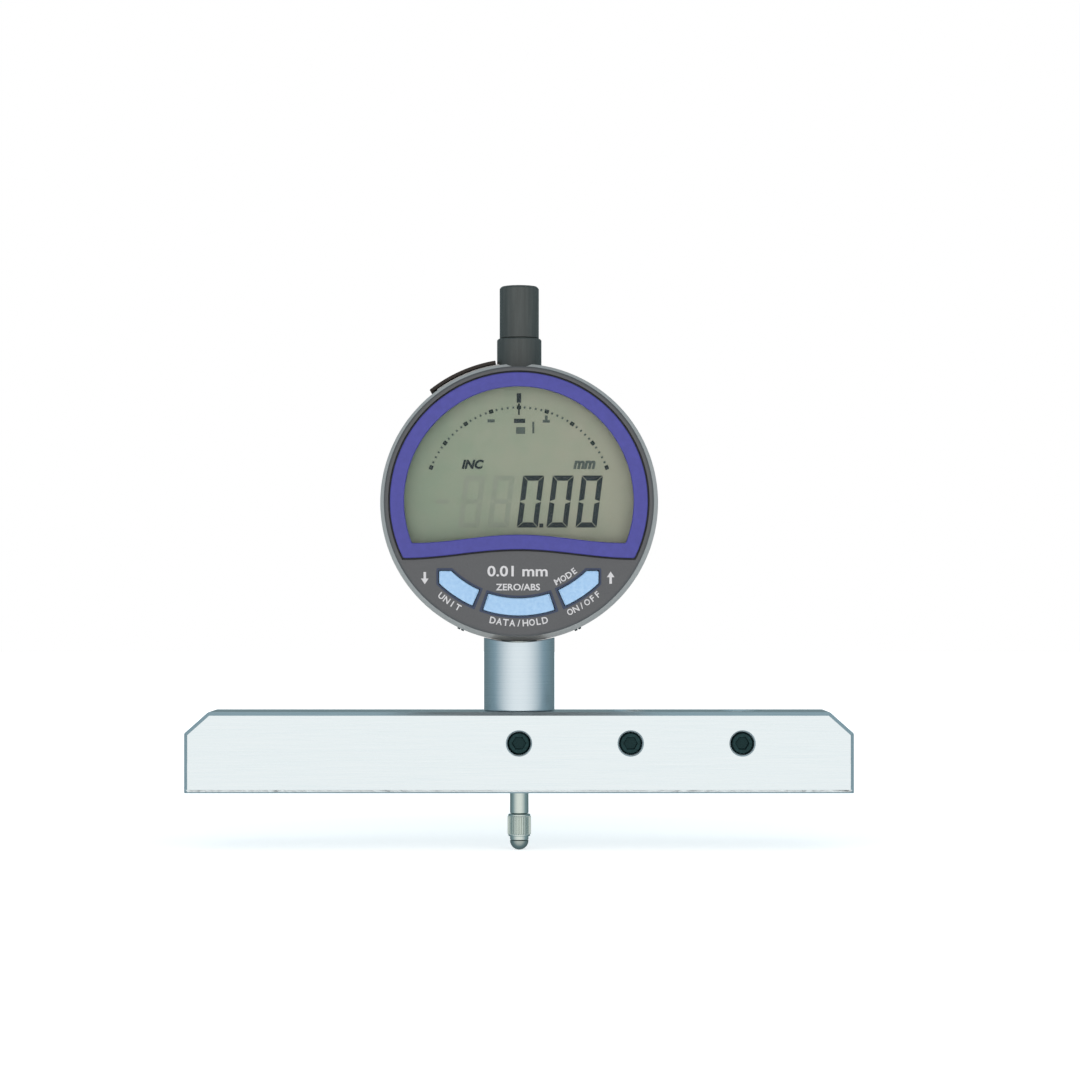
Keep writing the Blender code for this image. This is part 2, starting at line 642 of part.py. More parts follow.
def display_housing():
    wall = 28.25 * MM
    profile = [
        (0, FACE_FRONT), (DISPLAY_RADIUS - 0.5 * MM, FACE_FRONT), (DISPLAY_RADIUS, FACE_FRONT - 0.6 * MM),
        (DISPLAY_RADIUS, DISPLAY_BACK + 0.3 * MM), (DISPLAY_RADIUS - 0.3 * MM, DISPLAY_BACK),
        (wall, DISPLAY_BACK),
        (wall, FACE_BACK), (0, FACE_BACK),
    ]
    housing = turned("display_housing", profile, GREY_PLASTIC, DIAL, sides=SMOOTH)
    recess = outline_solid(
        "cut_frame_recess", [window_loop(FRAME_RADIUS + GAP, FRAME_SILL - GAP, FRAME_CROWN)],
        FACE_FRONT - 0.7 * MM, FACE_FRONT + MM, CUTTER, DIAL,
    )
    window = outline_solid(
        "cut_window", [window_loop(27.0 * MM, WINDOW_SILL - 1.4 * MM, WINDOW_CROWN)], FACE_BACK - MM,
        FACE_FRONT,
        CUTTER, DIAL,
    )
    cut(housing, recess, window)
    for which in BUTTONS:
        cut(housing, outline_solid(
            f"cut_button_{which}", [button_loop(which, 0.2 * MM)], FACE_BACK - MM, FACE_FRONT + MM,
            CUTTER, DIAL
        ))


def window_parts():
    """The coloured frame, the lens behind it, and the liquid crystal cell with its connectors."""
    outer = window_loop(FRAME_RADIUS, FRAME_SILL, FRAME_CROWN)
    inner = window_loop(WINDOW_RADIUS, WINDOW_SILL, WINDOW_CROWN)
    outline_solid(
        "window_frame", [outer, inner[::-1]], FACE_FRONT - 0.6 * MM, FRAME_FRONT, VIOLET_PLASTIC, DIAL,
        0.3 * MM
    )
    lens = window_loop(26.8 * MM, WINDOW_SILL - 1.2 * MM, WINDOW_CROWN)
    outline_solid("window_lens", [lens], LENS_BACK, FACE_FRONT - 0.75 * MM, CLEAR, DIAL)
    cell = window_loop(27.6 * MM, WINDOW_SILL - 1.5 * MM, WINDOW_CROWN)
    outline_solid("lcd_front_glass", [cell], LCD_FRONT - 0.7 * MM, LCD_FRONT, CLEAR, DIAL)
    outline_solid("lcd_rear_glass", [cell], LCD_BACK + 0.3 * MM, LCD_FRONT - 0.85 * MM, LCD, DIAL)
    outline_solid("lcd_reflector", [cell], LCD_BACK, LCD_BACK + 0.15 * MM, ALUMINIUM, DIAL)
    for name, y in (("upper", 22.0 * MM), ("lower", -7.5 * MM)):
        block(
            f"zebra_strip_{name}", (-11 * MM, y - 0.8 * MM, BOARD_FRONT + 0.1 * MM),
            (11 * MM, y + 0.8 * MM, LCD_BACK - 0.1 * MM), RUBBER,
            DIAL,
        )


def main_board():
    tube("main_board", 27.8 * MM, 6.5 * MM, BOARD_BACK, BOARD_FRONT, BOARD, DIAL, sides=48)


def display_rear():
    """The ring that closes the display unit, its friction ring, and the clip that holds it on the spigot."""
    tube(
        "display_back_ring", 28.0 * MM, 13.5 * MM + 0.1 * MM, DISPLAY_BACK, DISPLAY_BACK + 0.65 * MM,
        GREY_PLASTIC,
        DIAL, sides=SMOOTH,
    )
    loop = [
        (FRICTION_RING + 0.42 * MM * cos(radians(a)), CASE_FRONT - 0.21 * MM + 0.42 * MM * sin(radians(a)))
        for a in range(90, -270, -60)
    ]
    turned("friction_ring", loop, RUBBER, DIAL, sides=40)
    tube("retaining_ring", 15.2 * MM, 13.5 * MM + GAP, 6.65 * MM, 7.1 * MM, HARD_STEEL, DIAL, sides=40)


def buttons():
    """Each button has a flange behind the face, so that it can't fall out."""
    for which in BUTTONS:
        cap = outline_solid(
            f"button_{which}", [button_loop(which)], BUTTON_BACK, FACE_FRONT + 0.6 * MM, SKY_RUBBER,
            DIAL, 0.2 * MM
        )
        flange = outline_solid(
            f"join_flange_{which}", [button_loop(which, 0.55 * MM)], BUTTON_BACK, FACE_BACK - 0.1 * MM,
            CUTTER, DIAL
        )
        join(cap, flange)
    mat = sector_loop(21 * MM, 27.6 * MM, 270 - 50, 270 + 50, 24)
    outline_solid("keypad_mat", [mat], BOARD_FRONT + 0.1 * MM, BUTTON_BACK - 0.8 * MM, RUBBER, DIAL)


def main():
    base_bar()
    clamp_screws()
    stem_sleeve()
    spindle()
    stem_parts()
    collar_and_cap()
    return_spring()
    carriage()
    inner_frame()
    rear_case()
    data_port()
    back_parts()
    display_housing()
    window_parts()
    main_board()
    display_rear()
    buttons()


clear_scene()
PARTS = new_collection("digital_depth_gauge")
CUTTERS = new_collection("cutters")
CUTTER = "cutter"

STEEL = new_material("ground_steel", (0.78, 0.82, 0.84), 0.28, 1.0)
HARD_STEEL = new_material("hardened_steel", (0.66, 0.68, 0.66), 0.2, 1.0)
SATIN_STEEL = new_material("satin_steel", (0.62, 0.6, 0.58), 0.35, 1.0)
BLACK_STEEL = new_material("blackened_steel", (0.03, 0.05, 0.05), 0.4, 1.0)
ALUMINIUM = new_material("aluminium", (0.75, 0.76, 0.77), 0.35, 1.0)
CARBIDE = new_material("carbide", (0.45, 0.47, 0.46), 0.15, 1.0)
BRASS = new_material("brass", (0.75, 0.58, 0.28), 0.3, 1.0)
BLACK_PLASTIC = new_material("black_plastic", (0.035, 0.04, 0.04), 0.45)
GREY_PLASTIC = new_material("charcoal_plastic", (0.11, 0.11, 0.11), 0.5)
VIOLET_PLASTIC = new_material("violet_plastic", (0.09, 0.08, 0.38), 0.4)
SKY_RUBBER = new_material("sky_rubber", (0.42, 0.66, 0.87), 0.5)
PLASTIC = new_material("white_plastic", (0.8, 0.8, 0.78), 0.4)
RUBBER = new_material("black_rubber", (0.03, 0.025, 0.02), 0.7)
CLEAR = new_material("clear_acrylic", (0.9, 0.95, 0.9), 0.05)
GLASS = new_material("scale_glass", (0.7, 0.8, 0.75), 0.1)
LCD = new_material("liquid_crystal", (0.28, 0.32, 0.25), 0.3)
BOARD = new_material("circuit_board", (0.03, 0.2, 0.08), 0.5)

DIAL = bpy.data.objects.new("dial_frame", None)
DIAL.location = (0, 0, DIAL_Z)
DIAL.rotation_euler = (pi / 2, 0, 0)
PARTS.objects.link(DIAL)
BASE_FRAME = bpy.data.objects.new("base_frame", None)
BASE_FRAME.location = (0, 0, FACE_Z)
BASE_FRAME.rotation_euler = (pi / 2, 0, 0)
PARTS.objects.link(BASE_FRAME)

main()
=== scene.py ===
# Digital dial indicator on a depth base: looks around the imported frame.
# The dial plane's own axes are x right, y up, z towards the reader, all in metres.
from math import asin, atan2, cos, degrees, pi, radians, sin, sqrt

import bmesh
import bpy
from mathutils import Matrix, Vector


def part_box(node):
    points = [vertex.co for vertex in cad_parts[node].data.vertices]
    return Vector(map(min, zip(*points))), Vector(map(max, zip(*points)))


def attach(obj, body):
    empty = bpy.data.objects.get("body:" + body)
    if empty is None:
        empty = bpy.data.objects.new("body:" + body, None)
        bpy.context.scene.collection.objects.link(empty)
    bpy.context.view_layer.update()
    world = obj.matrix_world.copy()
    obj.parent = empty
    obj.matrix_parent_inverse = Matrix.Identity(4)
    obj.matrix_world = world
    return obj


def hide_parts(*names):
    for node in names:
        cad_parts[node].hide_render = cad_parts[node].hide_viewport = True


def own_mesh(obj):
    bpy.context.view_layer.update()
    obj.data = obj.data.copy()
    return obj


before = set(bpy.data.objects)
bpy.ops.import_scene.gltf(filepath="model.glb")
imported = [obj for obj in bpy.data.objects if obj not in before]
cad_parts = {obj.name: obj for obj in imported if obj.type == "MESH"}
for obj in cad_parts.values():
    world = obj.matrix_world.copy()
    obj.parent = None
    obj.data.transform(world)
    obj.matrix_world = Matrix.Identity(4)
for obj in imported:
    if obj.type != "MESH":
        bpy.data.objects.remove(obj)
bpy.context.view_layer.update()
mm = 0.001


# Colours, nodes and meshes

def hexToLinear(code):
    channels = [int(code[i:i + 2], 16) / 255 for i in (1, 3, 5)]
    linear = [c / 12.92 if c <= 0.04045 else ((c + 0.055) / 1.055) ** 2.4 for c in channels]
    return (*linear, 1.0)


def addNode(tree, kind, settings=None, links=None):
    node = tree.nodes.new(kind)
    for key, value in (settings or {}).items():
        if isinstance(key, int) or key in node.inputs:
            node.inputs[key].default_value = value
        else:
            setattr(node, key, value)
    for key, socket in (links or {}).items():
        tree.links.new(socket, node.inputs[key])
    return node


def startMaterial(name, colour, metallic, roughness, **sockets):
    material = bpy.data.materials.new(name)
    material.use_nodes = True
    shader = material.node_tree.nodes["Principled BSDF"]
    shader.inputs["Base Color"].default_value = hexToLinear(colour)
    shader.inputs["Metallic"].default_value = metallic
    shader.inputs["Roughness"].default_value = roughness
    for key, value in sockets.items():
        shader.inputs[key.replace("_", " ")].default_value = value
    material.diffuse_color = hexToLinear(colour)
    return material


def surfaceDetail(material, look):
    # look: pitch in metres along x, y and z, the two colours, the two roughnesses, and the bump's depth
    tree = material.node_tree
    shader = tree.nodes["Principled BSDF"]
    place = addNode(tree, "ShaderNodeTexCoord")
    scale = [0.0 if p is None else 1 / p for p in look["pitch"]]
    stretch = addNode(tree, "ShaderNodeMapping", {"Scale": scale}, {"Vector": place.outputs["Object"]})
    grain = addNode(
        tree, "ShaderNodeTexNoise",
        {"Scale": 1.0, "Detail": look.get("detail", 3.0), "Roughness": look.get("rough", 0.55)},
        {"Vector": stretch.outputs["Vector"]},
    )
    low, high = look.get("span", (0.3, 0.7))
    tone = addNode(
        tree, "ShaderNodeMapRange", {"From Min": low, "From Max": high}, {"Value": grain.outputs["Fac"]}
    )
    if "roughness" in look:
        gloss = addNode(
            tree, "ShaderNodeMapRange",
            {"From Min": low, "From Max": high, "To Min": look["roughness"][0], "To Max": look["roughness"][1]},
            {"Value": grain.outputs["Fac"]},
        )
        tree.links.new(gloss.outputs["Result"], shader.inputs["Roughness"])
    if "colours" in look:
        blend = addNode(
            tree, "ShaderNodeMix", {"data_type": "RGBA"}, {0: tone.outputs["Result"]}
        )
        blend.inputs[6].default_value = hexToLinear(look["colours"][0])
        blend.inputs[7].default_value = hexToLinear(look["colours"][1])
        tree.links.new(blend.outputs[2], shader.inputs["Base Color"])
    if "depth" in look:
        bump = addNode(
            tree, "ShaderNodeBump", {"Strength": look.get("strength", 0.4), "Distance": look["depth"]},
            {"Height": grain.outputs["Fac"]},
        )
        tree.links.new(bump.outputs["Normal"], shader.inputs["Normal"])
    return material


def finishMesh(name, form, matrix=None):
    bmesh.ops.remove_doubles(form, verts=form.verts, dist=1e-7)
    bmesh.ops.recalc_face_normals(form, faces=form.faces)
    if matrix is not None:
        bmesh.ops.transform(form, matrix=matrix, verts=form.verts)
    mesh = bpy.data.meshes.new(name)
    form.to_mesh(mesh)
    form.free()
    return mesh


def addObject(name, data):
    made = bpy.data.objects.new(name, data)
    bpy.context.scene.collection.objects.link(made)
    return made


def newPiece(name, mesh, material=None, angle=32):
    piece = addObject(name, mesh)
    if material is not None:
        mesh.materials.clear()
        mesh.materials.append(material)
    mesh.shade_smooth()
    mesh.set_sharp_from_angle(angle=radians(angle))
    return piece


def softened(points, radius, steps=4, closed=False):
    # every corner of a profile gets a small curve
    count = len(points)
    made = []
    for i, point in enumerate(points):
        if not closed and i in (0, count - 1):
            made.append(point)
            continue
        before, after = Vector(points[i - 1]), Vector(points[(i + 1) % count])
        here = Vector(point)
        reach = min(radius, (before - here).length * 0.45, (after - here).length * 0.45)
        start = here + (before - here).normalized() * reach
        end = here + (after - here).normalized() * reach
        for k in range(steps + 1):
            t = k / steps
            made.append(tuple(start * (1 - t) ** 2 + here * 2 * t * (1 - t) + end * t * t))
    return made


def turnedForm(profile, steps, closed=False):
    form = bmesh.new()
    rings = []
    for radius, height in profile:
        if radius < 1e-9:
            rings.append([form.verts.new((0, 0, height))])
        else:
            rings.append([
                form.verts.new((radius * cos(2 * pi * k / steps), radius * sin(2 * pi * k / steps), height))
                for k in range(steps)
            ])
    pairs = list(zip(rings, rings[1:])) + ([(rings[-1], rings[0])] if closed else [])
    for a, b in pairs:
        for k in range(steps):
            corners = [a[k % len(a)], a[(k + 1) % len(a)], b[(k + 1) % len(b)], b[k % len(b)]]
            unique = list(dict.fromkeys(corners))
            if len(unique) > 2:
                form.faces.new(unique)
    return form


def turned(name, profile, material, matrix=None, radius=0.15 * mm, steps=128, closed=False, angle=32, soft=4):
    shape = softened(profile, radius, soft, closed)
    return newPiece(name, finishMesh(name, turnedForm(shape, steps, closed), matrix), material, angle)


def evaluatedMesh(source):
    bpy.context.view_layer.update()
    graph = bpy.context.evaluated_depsgraph_get()
    return bpy.data.meshes.new_from_object(source.evaluated_get(graph))


def meshOf(source):
    mesh = evaluatedMesh(source)
    mesh.transform(source.matrix_world)
    bpy.data.objects.remove(source)
    return mesh


def outlined(name, loops, low, high, material, matrix=None, edge=0.0, edgeSteps=2, angle=32):
    curve = bpy.data.curves.new(name, "CURVE")
    curve.dimensions = "2D"
    curve.fill_mode = "BOTH"
    curve.extrude = (high - low) / 2 - edge
    curve.bevel_depth = edge
    curve.bevel_resolution = edgeSteps
    curve.offset = -edge
    for loop in loops:
        spline = curve.splines.new("POLY")
        spline.points.add(len(loop) - 1)
        for point, (x, y) in zip(spline.points, loop):
            point.co = (x, y, 0, 1)
        spline.use_cyclic_u = True
    draft = addObject(name, curve)
    draft.location = (0, 0, (low + high) / 2)
    form = bmesh.new()
    form.from_mesh(meshOf(draft))
    return newPiece(name, finishMesh(name, form, matrix), material, angle)


def carve(piece, *cutters, operation="DIFFERENCE", angle=32):
    for cutter in cutters:
        step = piece.modifiers.new("carve", "BOOLEAN")
        step.operation = operation
        step.solver = "EXACT"
        step.object = cutter
    mesh = evaluatedMesh(piece)
    piece.modifiers.clear()
    piece.data = mesh
    for cutter in cutters:
        bpy.data.objects.remove(cutter)
    for slot in reversed(range(1, len(mesh.materials))):
        mesh.materials.pop(index=slot)
    mesh.polygons.foreach_set("material_index", [0] * len(mesh.polygons))
    mesh.shade_smooth()
    mesh.set_sharp_from_angle(angle=radians(angle))
    return piece


def turnedCutter(profile, steps, matrix=None):
    return newPiece("cutter", finishMesh("cutter", turnedForm(profile, steps), matrix))


def rodCutter(radius, low, high, matrix=None, steps=48):
    return turnedCutter([(0, high), (radius, high), (radius, low), (0, low)], steps, matrix)


def settle(piece, body, slot, *nodes):
    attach(piece, body)
    if nodes:
        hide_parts(*nodes)
    return piece


# Flat outlines in the dial's plane

def arcPoints(radius, start, end, steps, centre=(0, 0)):
    turns = [radians(start + (end - start) * i / steps) for i in range(steps + 1)]
    return [(centre[0] + radius * cos(t), centre[1] + radius * sin(t)) for t in turns]


def windowLoop(radius, sill, crown, steps=120):
    half = sqrt(radius ** 2 - sill ** 2)
    corner = degrees(asin(sill / radius))
    floor = [half * (i / 24 - 1) for i in range(1, 48)]
    rise = [(x, sill + crown * (1 + cos(pi * x / half)) / 2) for x in floor]
    return arcPoints(radius, corner, 180 - corner, steps) + rise


def sectorLoop(inner, outer, start, end, steps=32):
    return arcPoints(outer, start, end, steps) + arcPoints(inner, end, start, steps)


# inner and outer radius of the row of keys, half the middle key's angle, and the side key's near angle and tip
keys = {"inner": 21.6 * mm, "outer": 25.4 * mm, "half": 18.2, "near": 24.0, "tipX": 17.7 * mm, "tipY": -15.5 * mm,
        "corner": 0.35 * mm}


def buttonLoop(which, grow=0.0):
    inner, outer = keys["inner"] - grow, keys["outer"] + grow
    slack = degrees(grow / inner)
    if which == "middle":
        loop = sectorLoop(inner, outer, 270 - keys["half"] - slack, 270 + keys["half"] + slack)
    else:
        near = keys["near"] - slack
        tipX, tipY = keys["tipX"] + grow, keys["tipY"] + grow
        stop = degrees(atan2(tipX, sqrt(outer ** 2 - tipX ** 2)))
        innerStop = degrees(asin(min(1.0, -tipY / inner)))
        loop = arcPoints(outer, 270 + near, 270 + stop, 24) + [(tipX, tipY)]
        loop += arcPoints(inner, 360 - innerStop, 270 + near, 24)
        if which == "left":
            loop = [(-x, y) for x, y in reversed(loop)]
    return softened(loop, keys["corner"], 3, True)


# Places taken from the frame

housingLow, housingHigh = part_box("display_housing")
caseLow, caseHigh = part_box("rear_case")
barLow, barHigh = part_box("base_bar")
dialZ = (housingLow.z + housingHigh.z) / 2
dialPlane = Matrix.Translation((0, 0, dialZ)) @ Matrix.Rotation(pi / 2, 4, "X")
faceFront = -housingLow.y
displayBack = -housingHigh.y
displayRadius = (housingHigh.x - housingLow.x) / 2
caseRadius = (caseHigh.x - caseLow.x) / 2
alongY = Matrix.Rotation(-pi / 2, 4, "X")


def centreOf(node):
    low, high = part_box(node)
    return (low + high) / 2


# Materials

# pitches and depths are in millimetres; a pitch is the size of the grain along x, y and z
finishes = {}


def addFinish(name, colour, metallic, roughness, pitch, tones, gloss, depth=None, sockets=None, **look):
    pitches = pitch if isinstance(pitch, tuple) else (pitch, pitch, pitch)
    look.update({"pitch": [None if p is None else p * mm for p in pitches], "colours": tones, "roughness": gloss})
    if depth is not None:
        look["depth"] = depth * mm
    finishes[name] = surfaceDetail(startMaterial(name, colour, metallic, roughness, **(sockets or {})), look)


# surface-ground tool steel: pale, with fine straight lines left by the wheel along the bar
addFinish("groundSteel", "#DCE4E6", 1.0, 0.3, (14, 0.16, 0.16), ("#DAE3E5", "#E6ECED"), (0.24, 0.36), 0.004,
          detail=4.0, span=(0.3, 0.72))
# turned and satin-polished steel: rings run round the sleeve, one every 0.1 mm
addFinish("turnedSteel", "#D0DADF", 1.0, 0.3, (60, 60, 0.1), ("#C9D5DB", "#D9E2E6"), (0.26, 0.36), 0.003, detail=2.0)
# hardened, centreless-ground steel: nearly a mirror, with a green-grey cast
addFinish("hardenedSteel", "#C4CDC6", 1.0, 0.16, (40, 40, 0.08), ("#BBC6BF", "#CFD6CF"), (0.1, 0.22), 0.002,
          detail=2.0)
# satin-chromed zinc die casting: warm silver with a very fine blasted grain
addFinish("satinChrome", "#CBC8C4", 0.6, 0.45, 0.12, ("#BEBBB8", "#CDCAC7"), (0.4, 0.5), 0.004, detail=2.0)
# black-oxided alloy steel: almost black, with a sheen of oil that reads blue-green
addFinish("blackOxide", "#1D3334", 0.85, 0.34, 0.3, ("#182A2B", "#254142"), (0.25, 0.45), 0.006)
# moulded ABS from a spark-eroded tool: charcoal, matt, with a grain about 0.15 mm across
addFinish("charcoalAbs", "#525152", 0.0, 0.5, 0.15, ("#4C4B4C", "#575657"), (0.44, 0.6), 0.012,
          sockets={"IOR": 1.53}, detail=2.0)
# dyed ABS, moulded smooth: violet, satin, with only a trace of flow unevenness
addFinish("violetAbs", "#3D3B8B", 0.0, 0.42, 1.2, ("#3A3888", "#413F93"), (0.38, 0.47), 0.004,
          sockets={"IOR": 1.53}, detail=4.0)
# silicone rubber keys: pale blue, soft sheen, faint mottling from the moulding
addFinish("blueSilicone", "#9FBEDD", 0.0, 0.5, 0.8, ("#96B8DA", "#A9C6E2"), (0.42, 0.56), 0.005,
          sockets={"IOR": 1.41})
# pad-printed ink on the housing: off-white, thin, slightly uneven
addFinish("paleInk", "#CBC6C6", 0.0, 0.55, 0.2, ("#BFBABB", "#D6D2D1"), (0.5, 0.65), sockets={"IOR": 1.5})
# the same finish as the ink, in navy, laid round each key as painted shade where the gap round the key reads dark
addFinish("paintedKeyShade", "#2F3850", 0.0, 0.5, 0.2, ("#2A3349", "#364059"), (0.45, 0.6), sockets={"IOR": 1.5})
# liquid crystal segments when driven: blue-black with soft edges
addFinish("crystalInk", "#18262C", 0.0, 0.5, 0.5, ("#142128", "#1E2C32"), (0.35, 0.45), sockets={"IOR": 1.4})
# fine marks on the cell, which the light bleeds round: a softer grey-green
addFinish("paleCrystal", "#56605A", 0.0, 0.5, 0.5, ("#4E5852", "#5E6862"), (0.35, 0.45), sockets={"IOR": 1.4})
# undriven segments: only just darker than the cell
addFinish("ghostInk", "#9DA590", 0.0, 0.34, 2, ("#99A28C", "#A2A794"), (0.32, 0.38), sockets={"IOR": 1.5})
# acetal cap, turned and then beaded: soft black with a long highlight
addFinish("blackAcetal", "#3C403E", 0.0, 0.36, (0.9, 0.9, 14), ("#373B39", "#424644"), (0.3, 0.42), 0.002,
          sockets={"IOR": 1.48}, detail=2.0)
# nitrile rubber: dark brown-black, dull, with a fine dusty bloom
addFinish("nitrile", "#2C231D", 0.0, 0.7, 0.25, ("#261E19", "#3A3029"), (0.62, 0.8), 0.01, sockets={"IOR": 1.52})
# sintered carbide, lapped: dark grey mirror
addFinish("carbide", "#9DA5A0", 1.0, 0.12, 0.2, ("#959E99", "#A8B0AA"), (0.08, 0.16))
# machined brass bushes: rings from the lathe
addFinish("turnedBrass", "#C8A660", 1.0, 0.28, (30, 30, 0.1), ("#BE9B55", "#D1B06C"), (0.22, 0.35), 0.003)
# milled aluminium inside the case: straight cutter marks
addFinish("milledAluminium", "#CDCFD1", 1.0, 0.35, (8, 8, 0.3), ("#C3C6C8", "#D8DADB"), (0.28, 0.42), 0.005)
# nickel-plated battery can: bright, slightly drawn
addFinish("nickelPlate", "#CFCBC2", 1.0, 0.2, 5, ("#C8C4BB", "#D6D2CA"), (0.15, 0.28))
# glass-epoxy board under green solder resist: the weave just shows, 0.5 mm apart
addFinish("solderResist", "#1E5A34", 0.0, 0.32, 0.5, ("#194D2C", "#26683F"), (0.25, 0.4), 0.01, sockets={"IOR": 1.55})
# moulded white acetal
addFinish("whiteAcetal", "#DFDED8", 0.0, 0.4, 0.6, ("#D8D7D0", "#E6E5E0"), (0.34, 0.46), sockets={"IOR": 1.48})
# carbon-filled silicone strip that joins the cell to its board
addFinish("stripSilicone", "#3A3A40", 0.0, 0.6, (0.2, None, None), ("#24242A", "#6E6B70"), (0.5, 0.7),
          sockets={"IOR": 1.43})
# etched glass scale
addFinish("scaleGlass", "#A9BDB2", 0.0, 0.08, (None, None, 0.5), ("#8FA69A", "#C2D2C8"), (0.05, 0.2),
          sockets={"IOR": 1.52, "Alpha": 0.55})
# polished acrylic lens: clear, so only its gloss and a trace of smoke in the sheet show
addFinish("clearAcrylic", "#46504A", 0.0, 0.05, 9, ("#424C46", "#4C564F"), (0.03, 0.08),
          sockets={"IOR": 1.49, "Alpha": 0.05})


def liquidCrystal():
    # supertwist cell over a diffusing reflector: grey-green; its darker, greener left side is painted shade and its
    # lighter, warmer right side is painted light from the right
    look = {"left": "#9CAA90", "right": "#B4B39C", "mottle": 5 * mm, "shift": 0.22}
    material = startMaterial("liquidCrystal", "#98A088", 0.0, 0.34, IOR=1.5)
    tree = material.node_tree
    shader = tree.nodes["Principled BSDF"]
    place = addNode(tree, "ShaderNodeTexCoord")
    axes = addNode(tree, "ShaderNodeSeparateXYZ", {}, {"Vector": place.outputs["Object"]})
    # painted light and shade: the colour runs across the cell from the darker left colour to the lighter right colour
    across = addNode(
        tree, "ShaderNodeMapRange", {"From Min": -0.022, "From Max": 0.02}, {"Value": axes.outputs["X"]}
    )
    scale = [1 / look["mottle"]] * 3
    stretch = addNode(tree, "ShaderNodeMapping", {"Scale": scale}, {"Vector": place.outputs["Object"]})
    mottle = addNode(tree, "ShaderNodeTexNoise", {"Scale": 1.0, "Detail": 2.0}, {"Vector": stretch.outputs["Vector"]})
    drift = addNode(
        tree, "ShaderNodeMapRange",
        {"From Min": 0.3, "From Max": 0.7, "To Min": -look["shift"], "To Max": look["shift"]},
        {"Value": mottle.outputs["Fac"]},
    )
    share = addNode(
        tree, "ShaderNodeMath", {"operation": "ADD", "use_clamp": True},
        {0: across.outputs["Result"], 1: drift.outputs["Result"]},
    )
    blend = addNode(tree, "ShaderNodeMix", {"data_type": "RGBA"}, {0: share.outputs["Value"]})
    blend.inputs[6].default_value = hexToLinear(look["left"])
    blend.inputs[7].default_value = hexToLinear(look["right"])
    tree.links.new(blend.outputs[2], shader.inputs["Base Color"])
    return material


finishes["liquidCrystal"] = liquidCrystal()
print("materials made:", len(finishes))


# Geometry Nodes

def startTree(name, inputs):
    tree = bpy.data.node_groups.new(name, "GeometryNodeTree")
    tree.interface.new_socket("Geometry", in_out="OUTPUT", socket_type="NodeSocketGeometry")
    for label, (kind, value) in inputs.items():
        socket = tree.interface.new_socket(label, in_out="INPUT", socket_type=kind)
        if value is not None:
            socket.default_value = value
    return tree, tree.nodes.new("NodeGroupInput")


def endTree(tree, given, geometry):
    solid = addNode(tree, "GeometryNodeRealizeInstances", {}, {"Geometry": geometry})
    painted = addNode(
        tree, "GeometryNodeSetMaterial", {},
        {"Geometry": solid.outputs["Geometry"], "Material": given.outputs["Material"]},
    )
    addNode(tree, "NodeGroupOutput", {}, {"Geometry": painted.outputs["Geometry"]})
    return tree


def grown(name, tree, values, matrix=None, angle=32):
    holder = addObject(name, bpy.data.meshes.new(name))
    modifier = holder.modifiers.new("grow", "NODES")
    modifier.node_group = tree
    sockets = {s.name: s.identifier for s in tree.interface.items_tree if s.in_out == "INPUT"}
    for label, value in values.items():
        modifier[sockets[label]] = value
    form = bmesh.new()
    form.from_mesh(meshOf(holder))
    return newPiece(name, finishMesh(name, form, matrix), values["Material"], angle)


def helixTree():
    # a round wire along a spiral, closed at both ends
    tree, given = startTree("helix", {
        "Turns": ("NodeSocketFloat", 9.0), "Radius": ("NodeSocketFloat", 0.003),
        "Height": ("NodeSocketFloat", 0.03), "Wire": ("NodeSocketFloat", 0.00025),
        "Material": ("NodeSocketMaterial", None)})
    spiral = addNode(tree, "GeometryNodeCurveSpiral", {"Resolution": 40}, {
        "Rotations": given.outputs["Turns"], "Start Radius": given.outputs["Radius"],
        "End Radius": given.outputs["Radius"], "Height": given.outputs["Height"]})
    section = addNode(
        tree, "GeometryNodeCurvePrimitiveCircle", {"Resolution": 12}, {"Radius": given.outputs["Wire"]}
    )
    wire = addNode(tree, "GeometryNodeCurveToMesh", {"Fill Caps": True}, {
        "Curve": spiral.outputs["Curve"], "Profile Curve": section.outputs["Curve"]})
    return endTree(tree, given, wire.outputs["Mesh"])


def ringTree():
    # copies of one shape round a circle in the xy plane, each turned with the circle
    tree, given = startTree("ringOfShapes", {
        "Shape": ("NodeSocketObject", None), "Count": ("NodeSocketInt", 4),
        "Radius": ("NodeSocketFloat", 0.02), "Start": ("NodeSocketFloat", 0.0),
        "Step": ("NodeSocketFloat", 0.5), "Material": ("NodeSocketMaterial", None)})
    line = addNode(tree, "GeometryNodeMeshLine", {"Offset": (0, 0, 0)}, {"Count": given.outputs["Count"]})
    index = addNode(tree, "GeometryNodeInputIndex")
    turn = addNode(tree, "ShaderNodeMath", {"operation": "MULTIPLY_ADD"}, {
        0: index.outputs["Index"], 1: given.outputs["Step"], 2: given.outputs["Start"]})
    across = addNode(tree, "ShaderNodeMath", {"operation": "COSINE"}, {0: turn.outputs["Value"]})
    upward = addNode(tree, "ShaderNodeMath", {"operation": "SINE"}, {0: turn.outputs["Value"]})
    flat = addNode(tree, "ShaderNodeCombineXYZ", {}, {"X": across.outputs["Value"], "Y": upward.outputs["Value"]})
    spot = addNode(tree, "ShaderNodeVectorMath", {"operation": "SCALE"}, {
        0: flat.outputs["Vector"], "Scale": given.outputs["Radius"]})
    placed = addNode(tree, "GeometryNodeSetPosition", {}, {
        "Geometry": line.outputs["Mesh"], "Position": spot.outputs["Vector"]})
    facing = addNode(tree, "ShaderNodeCombineXYZ", {}, {"Z": turn.outputs["Value"]})
    shape = addNode(tree, "GeometryNodeObjectInfo", {}, {"Object": given.outputs["Shape"]})
    copies = addNode(tree, "GeometryNodeInstanceOnPoints", {}, {
        "Points": placed.outputs["Geometry"], "Instance": shape.outputs["Geometry"],
        "Rotation": facing.outputs["Vector"]})
    return endTree(tree, given, copies.outputs["Instances"])


helix = helixTree()
ring = ringTree()


